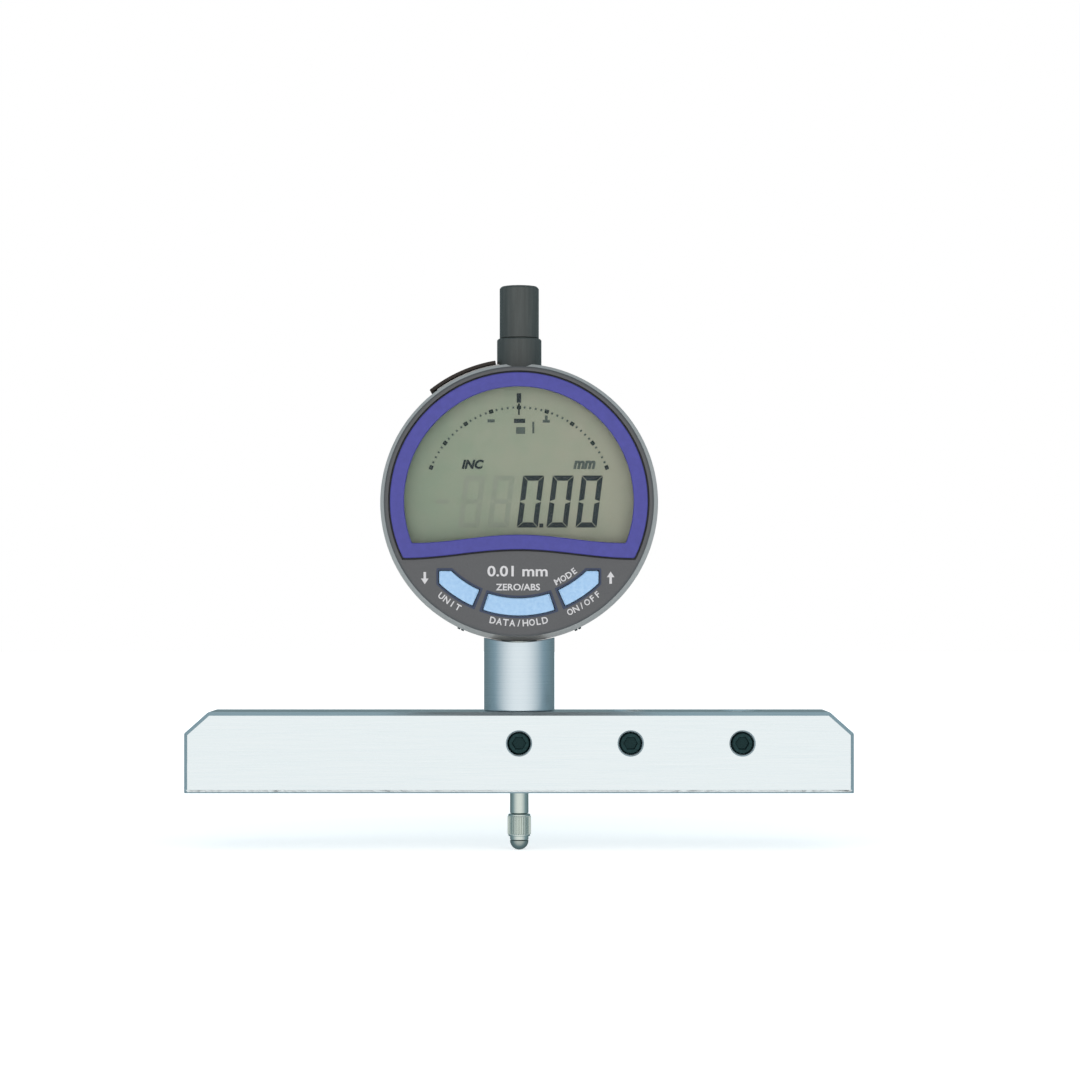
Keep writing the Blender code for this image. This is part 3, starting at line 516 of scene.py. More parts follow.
def ringOf(name, shape, count, radius, start, step, material, matrix=None, angle=32):
    return grown(name, ring, {
        "Shape": shape, "Count": count, "Radius": radius, "Start": radians(start), "Step": radians(step),
        "Material": material}, matrix, angle)


def plainBlock(low, high, matrix=None):
    low, high = Vector(low), Vector(high)
    form = bmesh.new()
    bmesh.ops.create_cube(form, size=1.0)
    size = Matrix.Translation((low + high) / 2) @ Matrix.Diagonal((*(high - low), 1))
    bmesh.ops.transform(form, matrix=size, verts=form.verts)
    return newPiece("block", finishMesh("block", form, matrix))


# Base bar

bar = {"edge": 0.8 * mm, "cornerX": 5.4 * mm, "cornerZ": 4.8 * mm, "bore": 5.0 * mm, "boreEdge": 0.35 * mm,
       "clamp": 2.65 * mm, "clampEdge": 0.3 * mm, "clampFloor": 4 * mm, "holes": 3, "pitch": 25 * mm}


def makeBar():
    low, high = barLow, barHigh
    height = high.z - low.z
    plane = Matrix.Translation((0, 0, low.z)) @ Matrix.Rotation(pi / 2, 4, "X")
    loop = [(low.x, 0), (high.x, 0), (high.x, height - bar["cornerZ"]), (high.x - bar["cornerX"], height),
            (low.x + bar["cornerX"], height), (low.x, height - bar["cornerZ"])]
    piece = outlined("baseBar", [softened(loop, 0.25 * mm, 3, True)], -high.y, -low.y, finishes["groundSteel"],
                     plane, bar["edge"], 0, 20)
    clampZ = centreOf("clamp_screw_centre").z
    cutters = []
    for i in range(bar["holes"]):
        at = Matrix.Translation((i * bar["pitch"], 0, 0))
        r, c = bar["bore"], bar["boreEdge"]
        profile = [(0, high.z + mm), (r + c + mm, high.z + mm), (r, high.z - c), (r, low.z + c),
                   (r + c + mm, low.z - mm), (0, low.z - mm)]
        cutters.append(turnedCutter(profile, 72, at))
        r, c = bar["clamp"], bar["clampEdge"]
        profile = [(0, bar["clampFloor"]), (r, bar["clampFloor"]), (r, -low.y - c), (r + c + mm, -low.y + mm),
                   (0, -low.y + mm)]
        out = Matrix.Translation((i * bar["pitch"], 0, clampZ)) @ Matrix.Rotation(pi / 2, 4, "X")
        cutters.append(turnedCutter(profile, 48, out))
    carve(piece, *cutters, angle=20)
    return settle(piece, "base", "ground_steel", "base_bar")


makeBar()
print("base bar made")


# Clamp screws: cup-point set screws with a hexagon socket

clampScrew = {"radius": 2.5 * mm, "edge": 0.35 * mm, "cup": 0.8 * mm, "socket": 1.45 * mm, "socketDepth": 2.2 * mm,
              "socketLead": 0.15 * mm}


def makeClampScrew(which):
    node = f"clamp_screw_{which}"
    low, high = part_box(node)
    middle = (low + high) / 2
    place = Matrix.Translation((middle.x, 0, middle.z)) @ Matrix.Rotation(pi / 2, 4, "X")
    front, back, r = -low.y, -high.y, clampScrew["radius"]
    profile = [(0, front), (r - clampScrew["edge"], front), (r, front - clampScrew["edge"]),
               (r, back + clampScrew["cup"]), (r - clampScrew["cup"], back), (0, back)]
    piece = turned(f"clampScrew_{which}", profile, finishes["blackOxide"], place, 0.08 * mm, 64)
    s, lead, floor = clampScrew["socket"], clampScrew["socketLead"], front - clampScrew["socketDepth"]
    socket = [(0, front + mm), (s + lead + mm, front + mm), (s, front - lead), (s, floor), (0, floor - 0.5 * mm)]
    carve(piece, turnedCutter(socket, 6, place), angle=25)
    return settle(piece, node, "blackened_steel", node)


for which in ("centre", "inner", "outer"):
    makeClampScrew(which)


# Stem sleeve and grub screw

sleeve = {"bore": 4.15 * mm, "spigot": 4.85 * mm, "spindleHole": 3.2 * mm, "edge": 0.35 * mm, "overlap": 1.0 * mm,
          "saddleGap": 0.2 * mm}
grubScrew = {"radius": 1.95 * mm, "edge": 0.3 * mm, "hole": 2.1 * mm, "holeEnd": 7.4 * mm, "socket": 1.15 * mm,
             "socketDepth": 1.8 * mm}


def makeSleeve():
    low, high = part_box("stem_sleeve")
    outer = high.x
    top = dialZ - caseRadius + sleeve["overlap"]
    foot = barHigh.z + 0.1 * mm
    profile = [(outer, top), (outer, foot), (sleeve["spigot"], foot), (sleeve["spigot"], low.z),
               (sleeve["spindleHole"], low.z), (sleeve["spindleHole"], low.z + 6 * mm),
               (sleeve["bore"], low.z + 7 * mm), (sleeve["bore"], top)]
    piece = turned("stemSleeve", profile, finishes["turnedSteel"], None, sleeve["edge"], 160, True)
    saddle = rodCutter(caseRadius + sleeve["saddleGap"], -14 * mm, 14 * mm, dialPlane, 240)
    grub = centreOf("sleeve_grub_screw")
    out = Matrix.Translation((0, 0, grub.z)) @ alongY
    hole, end = grubScrew["hole"], grubScrew["holeEnd"]
    drilled = [(0, 3 * mm), (hole, 3 * mm), (hole, end), (3.0 * mm, 8.6 * mm), (0, 8.6 * mm)]
    carve(piece, saddle, turnedCutter(drilled, 48, out))
    settle(piece, "base", "ground_steel", "stem_sleeve")
    low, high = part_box("sleeve_grub_screw")
    r, edge = grubScrew["radius"], grubScrew["edge"]
    profile = [(0, high.y), (r - edge, high.y), (r, high.y - edge), (r, low.y), (0, low.y)]
    screw = turned("sleeveGrubScrew", profile, finishes["blackOxide"], out, 0.06 * mm, 48)
    s, floor = grubScrew["socket"], high.y - grubScrew["socketDepth"]
    socket = [(0, high.y + mm), (s, high.y + mm), (s, floor), (0, floor - 0.2 * mm)]
    carve(screw, turnedCutter(socket, 6, out), angle=25)
    settle(screw, "base", "blackened_steel", "sleeve_grub_screw")


makeSleeve()
print("sleeve and screws made")


# Spindle, contact holder and contact tip

grip = {"ridges": 38, "depth": 0.2 * mm, "radius": 2.68 * mm, "low": 3.1 * mm, "ridgeEdge": 0.35 * mm,
        "toothFoot": 0.86, "toothTip": 0.35, "sunk": 0.08 * mm}


def knurledGrip(name, low, high):
    # a plain core with a ring of teeth round it; the teeth stop short of both chamfered ends
    core, edge = grip["radius"] - grip["depth"], grip["ridgeEdge"]
    profile = [(0, high), (core - 0.1 * mm, high), (core, high - 0.1 * mm), (core, low + 0.1 * mm),
               (core - 0.1 * mm, low), (0, low)]
    body = turned(name, profile, finishes["hardenedSteel"], None, 0.03 * mm, 152, soft=1)
    half = pi * core / grip["ridges"] * grip["toothFoot"]
    form = bmesh.new()
    sides = [(core - grip["sunk"], -half), (core - grip["sunk"], half), (grip["radius"], half * grip["toothTip"]),
             (grip["radius"], -half * grip["toothTip"])]
    levels = [(low + edge, 0.0), (low + edge + grip["depth"], 1.0), (high - edge - grip["depth"], 1.0),
              (high - edge, 0.0)]
    rows = [[form.verts.new((core + (x - core) * share if x > core else x, y, z)) for x, y in sides]
            for z, share in levels]
    for a, b in zip(rows, rows[1:]):
        for k in range(len(sides)):
            n = (k + 1) % len(sides)
            form.faces.new((a[k], a[n], b[n], b[k]))
    form.faces.new(rows[0][::-1])
    form.faces.new(rows[-1])
    tooth = newPiece("tooth", finishMesh("tooth", form))
    teeth = ringOf("teeth", tooth, grip["ridges"], 0.0, 0, 360 / grip["ridges"], finishes["hardenedSteel"])
    bpy.data.objects.remove(tooth)
    return carve(body, teeth, operation="UNION", angle=20)


def makeSpindle():
    low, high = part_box("spindle_rod")
    r = high.x
    profile = [(0, high.z), (r - 0.4 * mm, high.z), (r, high.z - 0.4 * mm), (r, low.z + 0.2 * mm),
               (r - 0.2 * mm, low.z), (0, low.z)]
    rod = turned("spindleRod", profile, finishes["hardenedSteel"], None, 0.1 * mm, 96)
    settle(rod, "spindle", "hardened_steel", "spindle_rod")
    holder = knurledGrip("contactHolder", grip["low"], low.z - 0.1 * mm)
    neck = turned("neck", [(0, 3.6 * mm), (r, 3.6 * mm), (r, 2.3 * mm), (0, 2.3 * mm)], finishes["hardenedSteel"],
                  None, 0.12 * mm, 72)
    carve(holder, neck, operation="UNION", angle=20)
    settle(holder, "spindle", "hardened_steel", "contact_holder")
    dome = [(r * cos(radians(a)), r * (1 - sin(radians(a)))) for a in range(0, 86, 5)] + [(0, 0)]
    tip = turned("contactTip", [(0, 2.2 * mm), (r - 0.12 * mm, 2.2 * mm), *dome], finishes["carbide"], None,
                 0.02 * mm, 96, soft=1)
    settle(tip, "spindle", "carbide", "contact_tip")


makeSpindle()
print("spindle made")


# Collar and cap

cap = {"radius": 4.44 * mm, "edge": 0.5 * mm, "spigot": 3.5 * mm, "bore": 2.6 * mm, "gap": 0.1 * mm}
collar = {"edge": 0.35 * mm, "seat": 3.7 * mm, "bore": 3.15 * mm, "seatDepth": 3.5 * mm}


def makeCap():
    low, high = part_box("upper_collar")
    r, top, edge = high.x, high.z, collar["edge"]
    floor = top - collar["seatDepth"]
    profile = [(collar["seat"], top), (r - edge, top), (r, top - edge), (r, low.z), (collar["bore"], low.z),
               (collar["bore"], floor), (collar["seat"], floor)]
    piece = turned("upperCollar", profile, finishes["blackAcetal"], None, 0.15 * mm, 128, True)
    settle(piece, "base", "black_plastic", "upper_collar")
    low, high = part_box("spindle_cap")
    r, edge, foot = cap["radius"], cap["edge"], top + cap["gap"]
    profile = [(0, high.z), (r - edge, high.z), (r, high.z - edge), (r, foot), (cap["spigot"], foot),
               (cap["spigot"], low.z), (cap["bore"], low.z), (cap["bore"], high.z - mm), (0, high.z - mm)]
    piece = turned("spindleCap", profile, finishes["blackAcetal"], None, 0.22 * mm, 128)
    settle(piece, "base", "black_plastic", "spindle_cap")


makeCap()


# Case, data port, back cover

case = {"stem": 4.15 * mm, "collar": 5.18 * mm, "wall": 29.4 * mm, "spigot": 13.5 * mm, "spigotBore": 11 * mm,
        "spigotEnd": 7.2 * mm, "front": 5.6 * mm, "web": 4.0 * mm, "groove": 0.25 * mm, "grooveAt": 2.6 * mm,
        "chamfer": 1.3 * mm, "rim": 0.5 * mm}
caseScrew = {"radius": 0.8 * mm, "proud": 0.4 * mm, "depth": 29.6 * mm, "slot": 0.12 * mm, "hole": 1.0 * mm,
             "angles": {"left": 245, "right": 295}}


def makeCase():
    front, back = case["front"], -caseHigh.y
    r, g, c, rim = caseRadius, case["groove"], case["chamfer"], case["rim"]
    near, far = front - case["grooveAt"], front - case["grooveAt"] - 0.3 * mm
    profile = [(case["spigot"], case["spigotEnd"]), (case["spigot"], front), (r - c, front), (r, front - c),
               (r, near), (r - g, near - g), (r - g, far - g), (r, far - 2 * g), (r, back + rim), (r - rim, back),
               (case["wall"], back), (case["wall"], case["web"]), (case["spigotBore"], case["web"]),
               (case["spigotBore"], case["spigotEnd"])]
    piece = turned("rearCase", profile, finishes["satinChrome"], dialPlane, 0.18 * mm, 256, True)
    pad = outlined("pad", [sectorLoop(30 * mm, r + 0.35 * mm, 98, 126, 40)], -6.5 * mm, 2.5 * mm,
                   finishes["satinChrome"], dialPlane, 0.1 * mm, 1)
    carve(piece, pad, operation="UNION")
    port = outlined("cutter", [sectorLoop(28 * mm, 34 * mm, 106, 124, 24)], -3.6 * mm, -0.4 * mm, None, dialPlane)
    below = rodCutter(case["stem"], dialZ - 34 * mm, dialZ - 26 * mm)
    above = rodCutter(case["collar"], dialZ + 26 * mm, dialZ + 34 * mm)
    relief = rodCutter(case["stem"] + mm, dialZ - 29.1 * mm, dialZ - 26 * mm)
    sides = []
    top, bottom, radius, half = r + caseScrew["proud"], caseScrew["depth"], caseScrew["radius"], caseScrew["slot"]
    for side, angle in caseScrew["angles"].items():
        out = dialPlane @ Matrix.Translation((0, 0, -2 * mm)) @ Matrix.Rotation(radians(angle), 4, "Z")
        out = out @ Matrix.Rotation(pi / 2, 4, "Y")
        sides.append(rodCutter(caseScrew["hole"], 28 * mm, 33 * mm, out, 32))
        screw = turned(f"caseScrew_{side}", [(0, top), (radius, top), (radius, bottom), (0, bottom)],
                       finishes["blackOxide"], out, 0.12 * mm, 32)
        slot = plainBlock((-2 * mm, -half, r + 0.1 * mm), (2 * mm, half, r + mm), out)
        carve(screw, slot, angle=30)
        settle(screw, "base", "blackened_steel", f"case_screw_{side}")
    carve(piece, port, below, above, relief, *sides)
    settle(piece, "base", "satin_steel", "rear_case")


makeCase()


# the strip's angles are counted from the x axis; the pad under it stands off the case by the lift
portCover = {"lift": 0.35 * mm, "gap": 0.15 * mm, "thick": 0.75 * mm, "start": 99.5, "end": 128.5}


def makePortCover():
    r = caseRadius + portCover["lift"] + portCover["gap"]
    start, end = portCover["start"], portCover["end"]
    loop = softened(sectorLoop(r, r + portCover["thick"], start, end, 40), 0.2 * mm, 3, True)
    strip = outlined("portCover", [loop], -7.0 * mm, 3.0 * mm, finishes["nitrile"], dialPlane, 0.12 * mm, 2)
    lip = outlined("lip", [sectorLoop(r - 0.05 * mm, r + 0.45 * mm, end - 1.1, end, 4)], -5.5 * mm, 1.5 * mm,
                   finishes["nitrile"], dialPlane, 0.08 * mm, 1)
    plug = outlined("plug", [sectorLoop(30.2 * mm, r + 0.2 * mm, 108.5, 121.5, 20)], -3.1 * mm, -0.9 * mm,
                    finishes["nitrile"], dialPlane, 0.1 * mm, 1)
    carve(strip, lip, plug, operation="UNION")
    settle(strip, "port_cover", "black_rubber", "port_cover")


makePortCover()
print("case made")


backCover = {"rim": 0.5 * mm, "step": 0.25 * mm, "stepRadius": 24.2 * mm, "battery": 11.5 * mm,
             "screwRing": 26.8 * mm, "head": 1.95 * mm, "coinSlot": (0.9 * mm, 6.2 * mm)}


def makeBack():
    low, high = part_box("back_cover")
    outer, front, back = high.x, -low.y, -high.y
    r, s = backCover["stepRadius"], backCover["step"]
    profile = [(0, front), (outer, front), (outer, back + backCover["rim"]), (outer - backCover["rim"], back),
               (r, back), (r - s, back + s), (0, back + s)]
    cover = turned("backCover", profile, finishes["satinChrome"], dialPlane, 0.12 * mm, 256)
    at = centreOf("battery_cap")
    drop = dialPlane @ Matrix.Translation((at.x, at.z - dialZ, 0))
    hole = [(0, front + mm), (backCover["battery"], front + mm), (backCover["battery"], back + s + 0.25 * mm),
            (backCover["battery"] + 0.5 * mm, back - 0.3 * mm), (0, back - 0.3 * mm)]
    cutters = [turnedCutter(hole, 128, drop)]
    sink = [(0, front + mm), (1.15 * mm, front + mm), (1.15 * mm, back + 0.9 * mm), (2.1 * mm, back + 0.9 * mm),
            (2.1 * mm, back + 0.1 * mm), (2.5 * mm, back - 0.3 * mm), (0, back - 0.3 * mm)]
    sample = turnedCutter(sink, 40)
    cutters.append(ringOf("cutter", sample, 4, backCover["screwRing"], 45, 90, finishes["satinChrome"], dialPlane))
    bpy.data.objects.remove(sample)
    carve(cover, *cutters)
    settle(cover, "base", "satin_steel", "back_cover")
    tail, head = -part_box("back_screw_1")[0].y, backCover["head"]
    profile = [(0, tail), (0.7 * mm, tail), (1.0 * mm, tail - 0.3 * mm), (1.0 * mm, back + 0.8 * mm),
               (head, back + 0.8 * mm), (head, back + 0.3 * mm), (head - 0.3 * mm, back), (0, back)]
    sample = turned("sample", profile, finishes["blackOxide"], None, 0.1 * mm, 40)
    arms = [plainBlock((-x, -y, back - mm), (x, y, back + 0.55 * mm))
            for x, y in ((1.2 * mm, 0.2 * mm), (0.2 * mm, 1.2 * mm))]
    carve(sample, *arms, angle=30)
    screws = ringOf("backScrews", sample, 4, backCover["screwRing"], 45, 90, finishes["blackOxide"], dialPlane)
    bpy.data.objects.remove(sample)
    settle(screws, "base", "blackened_steel", *[f"back_screw_{i}" for i in (1, 2, 3, 4)])
    capLow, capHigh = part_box("battery_cap")
    rim = (capHigh.x - capLow.x) / 2
    profile = [(0, -capLow.y), (9.9 * mm, -capLow.y), (9.9 * mm, front - 0.2 * mm), (rim, front - 0.2 * mm),
               (rim, back + s + 0.25 * mm), (rim - 0.3 * mm, back + s), (8.6 * mm, back + s),
               (8.4 * mm, back + s + 0.2 * mm), (0, back + s + 0.2 * mm)]
    piece = turned("batteryCap", profile, finishes["blackAcetal"], drop, 0.1 * mm, 128)
    half, reach = backCover["coinSlot"]
    slot = arcPoints(half, 90, 270, 12, (-reach, 0)) + arcPoints(half, -90, 90, 12, (reach, 0))
    carve(piece, outlined("cutter", [slot], back - mm, back + s + half, None, drop))
    settle(piece, "battery_cap", "black_plastic", "battery_cap")


makeBack()
print("back made")


# Display unit

display = {"recess": 0.7 * mm, "groove": 1.25 * mm, "frameGap": 0.42 * mm, "frameRadius": 28.63 * mm,
           "windowRadius": 25.5 * mm, "frameSill": -12.65 * mm, "frameCrown": 1.95 * mm, "windowSill": -9.3 * mm,
           "windowCrown": 1.85 * mm, "wall": 28.25 * mm, "faceBack": 11.4 * mm, "opening": 27.0 * mm,
           "lens": 26.8 * mm, "cell": 27.6 * mm, "keyGap": 0.2 * mm}


def frameLoop(grow=0.0):
    return windowLoop(display["frameRadius"] + grow, display["frameSill"] - grow, display["frameCrown"])


def openingLoop(radius, lower=0.0):
    return windowLoop(radius, display["windowSill"] - lower, display["windowCrown"])


def makeHousing():
    r, f, b = displayRadius, faceFront, displayBack
    profile = [(0, f), (r - 0.6 * mm, f), (r - 0.15 * mm, f - 0.35 * mm), (r, f - 1.0 * mm), (r, b + 0.3 * mm),
               (r - 0.3 * mm, b), (display["wall"], b), (display["wall"], display["faceBack"]),
               (0, display["faceBack"])]
    piece = turned("displayHousing", profile, finishes["charcoalAbs"], dialPlane, 0.3 * mm, 256)
    outer, inner = frameLoop(display["frameGap"]), frameLoop(-0.5 * mm)
    under = display["faceBack"] - mm
    recess = outlined("cutter", [outer], f - display["recess"], f + mm, None, dialPlane)
    window = outlined("cutter", [openingLoop(display["opening"], 1.4 * mm)], under, f, None, dialPlane)
    holes = [outlined("cutter", [buttonLoop(which, display["keyGap"])], under, f + mm, None, dialPlane)
             for which in ("left", "middle", "right")]
    groove = outlined("cutter", [outer, inner[::-1]], f - display["groove"], f - 0.5 * mm, None, dialPlane)
    carve(piece, recess, groove, window, *holes)
    settle(piece, "display", "charcoal_plastic", "display_housing")


makeHousing()


def makeWindow():
    low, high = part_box("window_frame")
    outer = softened(frameLoop(), 0.5 * mm, 4, True)
    inner = softened(openingLoop(display["windowRadius"])[::-1], 0.35 * mm, 4, True)
    rim = outlined("windowFrame", [outer, inner], -high.y, -low.y, finishes["violetAbs"], dialPlane, 0.28 * mm, 4)
    settle(rim, "display", "violet_plastic", "window_frame")
    for name, node, finish, slot, radius, lower in (
            ("windowLens", "window_lens", "clearAcrylic", "clear_acrylic", display["lens"], 1.2 * mm),
            ("lcdFrontGlass", "lcd_front_glass", "clearAcrylic", "clear_acrylic", display["cell"], 1.5 * mm),
            ("lcdRearGlass", "lcd_rear_glass", "liquidCrystal", "liquid_crystal", display["cell"], 1.5 * mm)):
        low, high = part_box(node)
        glass = outlined(name, [openingLoop(radius, lower)], -high.y, -low.y, finishes[finish], dialPlane)
        settle(glass, "display", slot, node)


makeWindow()
print("display made")


# Buttons

button = {"edge": 0.3 * mm, "flange": 0.5 * mm, "outline": 0.42 * mm}
# thickness of the printed words and of the painted shade ring round each key
inkAndShadeThickness = 0.03 * mm


def makeButton(which):
    node = f"button_{which}"
    low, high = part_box(node)
    key = outlined(f"button_{which}_key", [buttonLoop(which)], -high.y, -low.y, finishes["blueSilicone"], dialPlane,
                   button["edge"], 4)
    flange = outlined("flange", [buttonLoop(which, button["flange"])], -high.y, display["faceBack"] - 0.15 * mm,
                      finishes["blueSilicone"], dialPlane)
    carve(key, flange, operation="UNION")
    settle(key, node, "sky_rubber", node)
    # painted shade: a navy ring on the face round each key, wider than the real gap the key sits in
    loops = [buttonLoop(which, display["keyGap"] + button["outline"]), buttonLoop(which, display["keyGap"])[::-1]]
    line = outlined(f"buttonOutline_{which}", loops, faceFront, faceFront + inkAndShadeThickness, finishes["paintedKeyShade"],
                    dialPlane)
    settle(line, "display", "charcoal_plastic")


for which in ("left", "middle", "right"):
    makeButton(which)


# Printed words and marks

def letters(text, height, shear=0.0, weight=0.02):
    # the words as a flat mesh, centred on the origin
    curve = bpy.data.curves.new("words", "FONT")
    curve.body = text
    curve.size = height / 0.72
    curve.shear = shear
    curve.offset = weight * curve.size
    curve.extrude = 0.5
    curve.resolution_u = 3
    mesh = meshOf(addObject("words", curve))
    xs = [v.co.x for v in mesh.vertices]
    ys = [v.co.y for v in mesh.vertices]
    mesh.transform(Matrix.Translation((-(min(xs) + max(xs)) / 2, -(min(ys) + max(ys)) / 2, 0)))
    return mesh, max(xs) - min(xs), max(ys) - min(ys)


def addMesh(form, mesh, matrix):
    copy = mesh.copy()
    copy.transform(matrix)
    form.from_mesh(copy)
    bpy.data.meshes.remove(copy)


def addPolygon(form, points, low, high):
    base = [form.verts.new((x, y, low)) for x, y in points]
    top = [form.verts.new((x, y, high)) for x, y in points]
    form.faces.new(base[::-1])
    form.faces.new(top)
    for k in range(len(points)):
        n = (k + 1) % len(points)
        form.faces.new((base[k], base[n], top[n], top[k]))


def flatWords(form, text, height, centre, low, high, width, shear=0.0, weight=0.02):
    mesh, wide, tall = letters(text, height, shear, weight)
    place = Matrix.Translation((*centre, (low + high) / 2))
    addMesh(form, mesh, place @ Matrix.Diagonal((width / wide, height / tall, high - low, 1)))


def arcWords(form, text, height, radius, middle, low, high, advance):
    # letters one by one round the dial's centre, reading left to right along the bottom
    walked = -advance * len(text) / 2
    for c in text:
        angle = middle + degrees((walked + advance / 2) / radius)
        walked += advance
        mesh, wide, tall = letters(c, height)
        at = (radius * cos(radians(angle)), radius * sin(radians(angle)))
        place = Matrix.Translation((*at, (low + high) / 2)) @ Matrix.Rotation(radians(angle + 90), 4, "Z")
        narrow = min(1.0, advance * 0.9 / wide)
        addMesh(form, mesh, place @ Matrix.Diagonal((narrow, height / tall, high - low, 1)))


def flatPiece(name, form, finish, slot):
    piece = newPiece(name, finishMesh(name, form, dialPlane), finishes[finish], 30)
    return settle(piece, "display", slot)


# sizes in millimetres; angles are counted from the x axis, so 270 is straight down
words = {
    "flat": (("0.01 mm", 2.4, (-0.3, -15.55), 13.4), ("ZERO/ABS", 1.5, (-0.2, -19.1), 9.8)),
    "round": (("DATA/HOLD", 1.5, 27.1, 270, 1.46), ("UNIT", 1.4, 27.2, 235.5, 1.5),
              ("MODE", 1.4, 19.8, 302, 1.45), ("ON/OFF", 1.4, 27.1, 302.5, 1.45)),
    "arrows": ((-20.9, -17.1, -1), (20.4, -17.0, 1)),
    "arrow": {"head": 0.85 * mm, "stalk": 0.28 * mm, "half": 1.35 * mm, "neck": 0.1 * mm},
}


def makePrint():
    form = bmesh.new()
    low, high = faceFront, faceFront + inkAndShadeThickness
    for text, height, (x, y), width in words["flat"]:
        flatWords(form, text, height * mm, (x * mm, y * mm), low, high, width * mm)
    for text, height, radius, middle, advance in words["round"]:
        arcWords(form, text, height * mm, radius * mm, middle, low, high, advance * mm)
    head, stalk, half, neck = words["arrow"].values()
    for x, y, way in words["arrows"]:
        x, y, tail, waist = x * mm, y * mm, -way * half, way * neck
        points = [(-stalk, tail), (stalk, tail), (stalk, waist), (head, waist), (0, -tail), (-head, waist),
                  (-stalk, waist)]
        addPolygon(form, [(x + px, y + py) for px, py in points], low, high)
    flatPiece("printedWords", form, "paleInk", "white_plastic")


makePrint()
print("print made")


# Liquid crystal segments

segments = {"height": 11.6 * mm, "width": 4.7 * mm, "stroke": 1.15 * mm, "gap": 0.09 * mm, "slant": 1.46 / 11.6,
            "foot": -5.8 * mm, "starts": (-0.5 * mm, 6.1 * mm, 12.6 * mm), "pitch": 6.55 * mm,
            "thick": 0.04 * mm}


def digitStrokes(which):
    h, w, s, g = segments["height"], segments["width"], segments["stroke"], segments["gap"]
    m = h / 2
    strokes = {
        "a": [(g, h), (w - g, h), (w - s - g, h - s), (s + g, h - s)],
        "d": [(g, 0), (s + g, s), (w - s - g, s), (w - g, 0)],
        "f": [(0, h - g), (s, h - s - g), (s, m + s * 0.35 + g), (0, m + g)],
        "b": [(w, h - g), (w, m + g), (w - s, m + s * 0.35 + g), (w - s, h - s - g)],
        "e": [(0, g), (0, m - g), (s, m - s * 0.35 - g), (s, s + g)],
        "c": [(w, g), (w - s, s + g), (w - s, m - s * 0.35 - g), (w, m - g)],
        "g": [(s * 0.4 + g, m), (s + g, m + s * 0.45), (w - s - g, m + s * 0.45), (w - s * 0.4 - g, m),
              (w - s - g, m - s * 0.45), (s + g, m - s * 0.45)],
    }
    return [strokes[k] for k in which]


def addDigit(form, which, x, low, high):
    for stroke in digitStrokes(which):
        leaning = [(x + px + py * segments["slant"], segments["foot"] + py) for px, py in stroke]
        addPolygon(form, leaning, low, high)


# centre x and y, width and height of each block, in millimetres
blocks = {
    "driven": ((5.0, -5.35, 0.9, 0.9), (0, 23.1, 1.0, 2.1), (0, 20.6, 0.36, 2.6), (0.15, 18.0, 2.5, 0.95)),
    "pale": ((0.35, 15.85, 2.0, 1.5), (3.2, 16.5, 0.45, 2.6), (-6.2, 18.0, 1.6, 0.7), (6.1, 17.9, 1.6, 0.6),
             (6.1, 18.7, 0.6, 1.0)),
}
# count, degrees from one to the next, length round the ring and across it in millimetres, and finish
ticks = {"radius": 21.0 * mm, "minorTicks": (41, 3.44, 0.42, 0.5, "paleCrystal"),
         "majorTicks": (9, 17.2, 0.95, 0.85, "crystalInk")}


def makeSegments():
    rear, front = -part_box("lcd_rear_glass")[0].y, -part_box("lcd_front_glass")[1].y
    low = rear + (front - rear) * 0.3
    high = low + segments["thick"]
    form, pale, ghost = bmesh.new(), bmesh.new(), bmesh.new()
    for x in segments["starts"]:
        addDigit(form, "abcdef", x, low, high)
    for i, which in enumerate(("abcdefg", "abcdefg", "g"), 1):
        addDigit(ghost, which, segments["starts"][0] - i * segments["pitch"], low, high)
    for target, group in ((form, "driven"), (pale, "pale")):
        for x, y, wide, tall in blocks[group]:
            x, y, w, h = x * mm, y * mm, wide * mm / 2, tall * mm / 2
            addPolygon(target, [(x - w, y - h), (x + w, y - h), (x + w, y + h), (x - w, y + h)], low, high)
    flatWords(form, "INC", 2.1 * mm, (-10.3 * mm, 8.3 * mm), low, high, 5.0 * mm, 0.25, 0.05)
    flatWords(pale, "mm", 1.9 * mm, (14.6 * mm, 8.2 * mm), low, high, 5.0 * mm, 0.25, 0.05)
    flatPiece("crystalSegments", form, "crystalInk", "liquid_crystal")
    flatPiece("paleSegments", pale, "paleCrystal", "liquid_crystal")
    flatPiece("ghostSegments", ghost, "ghostInk", "liquid_crystal")
    for name in ("minorTicks", "majorTicks"):
        count, step, wide, tall, ink = ticks[name]
        sample = plainBlock((-tall * mm / 2, -wide * mm / 2, low), (tall * mm / 2, wide * mm / 2, high))
        start = 90 - step * (count - 1) / 2
        piece = ringOf(name, sample, count, ticks["radius"], start, step, finishes[ink], dialPlane)
        bpy.data.objects.remove(sample)
        settle(piece, "display", "liquid_crystal")


makeSegments()
print("segments made")


# Return spring

spring = {"wire": 0.25 * mm, "turns": 9.0, "radius": 2.75 * mm, "travel": 12.7 * mm}


def makeSpring():
    low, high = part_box("return_spring")
    wire, length = spring["wire"], high.z - low.z
    piece = grown("returnSpring", helix, {
        "Turns": spring["turns"], "Radius": spring["radius"], "Height": length - 2 * wire, "Wire": wire,
        "Material": finishes["hardenedSteel"]}, Matrix.Translation((0, 0, low.z + wire)), 40)
    settle(piece, "base", "hardened_steel", "return_spring")
    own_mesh(piece)


makeSpring()


# CAD nodes that stay, in better materials

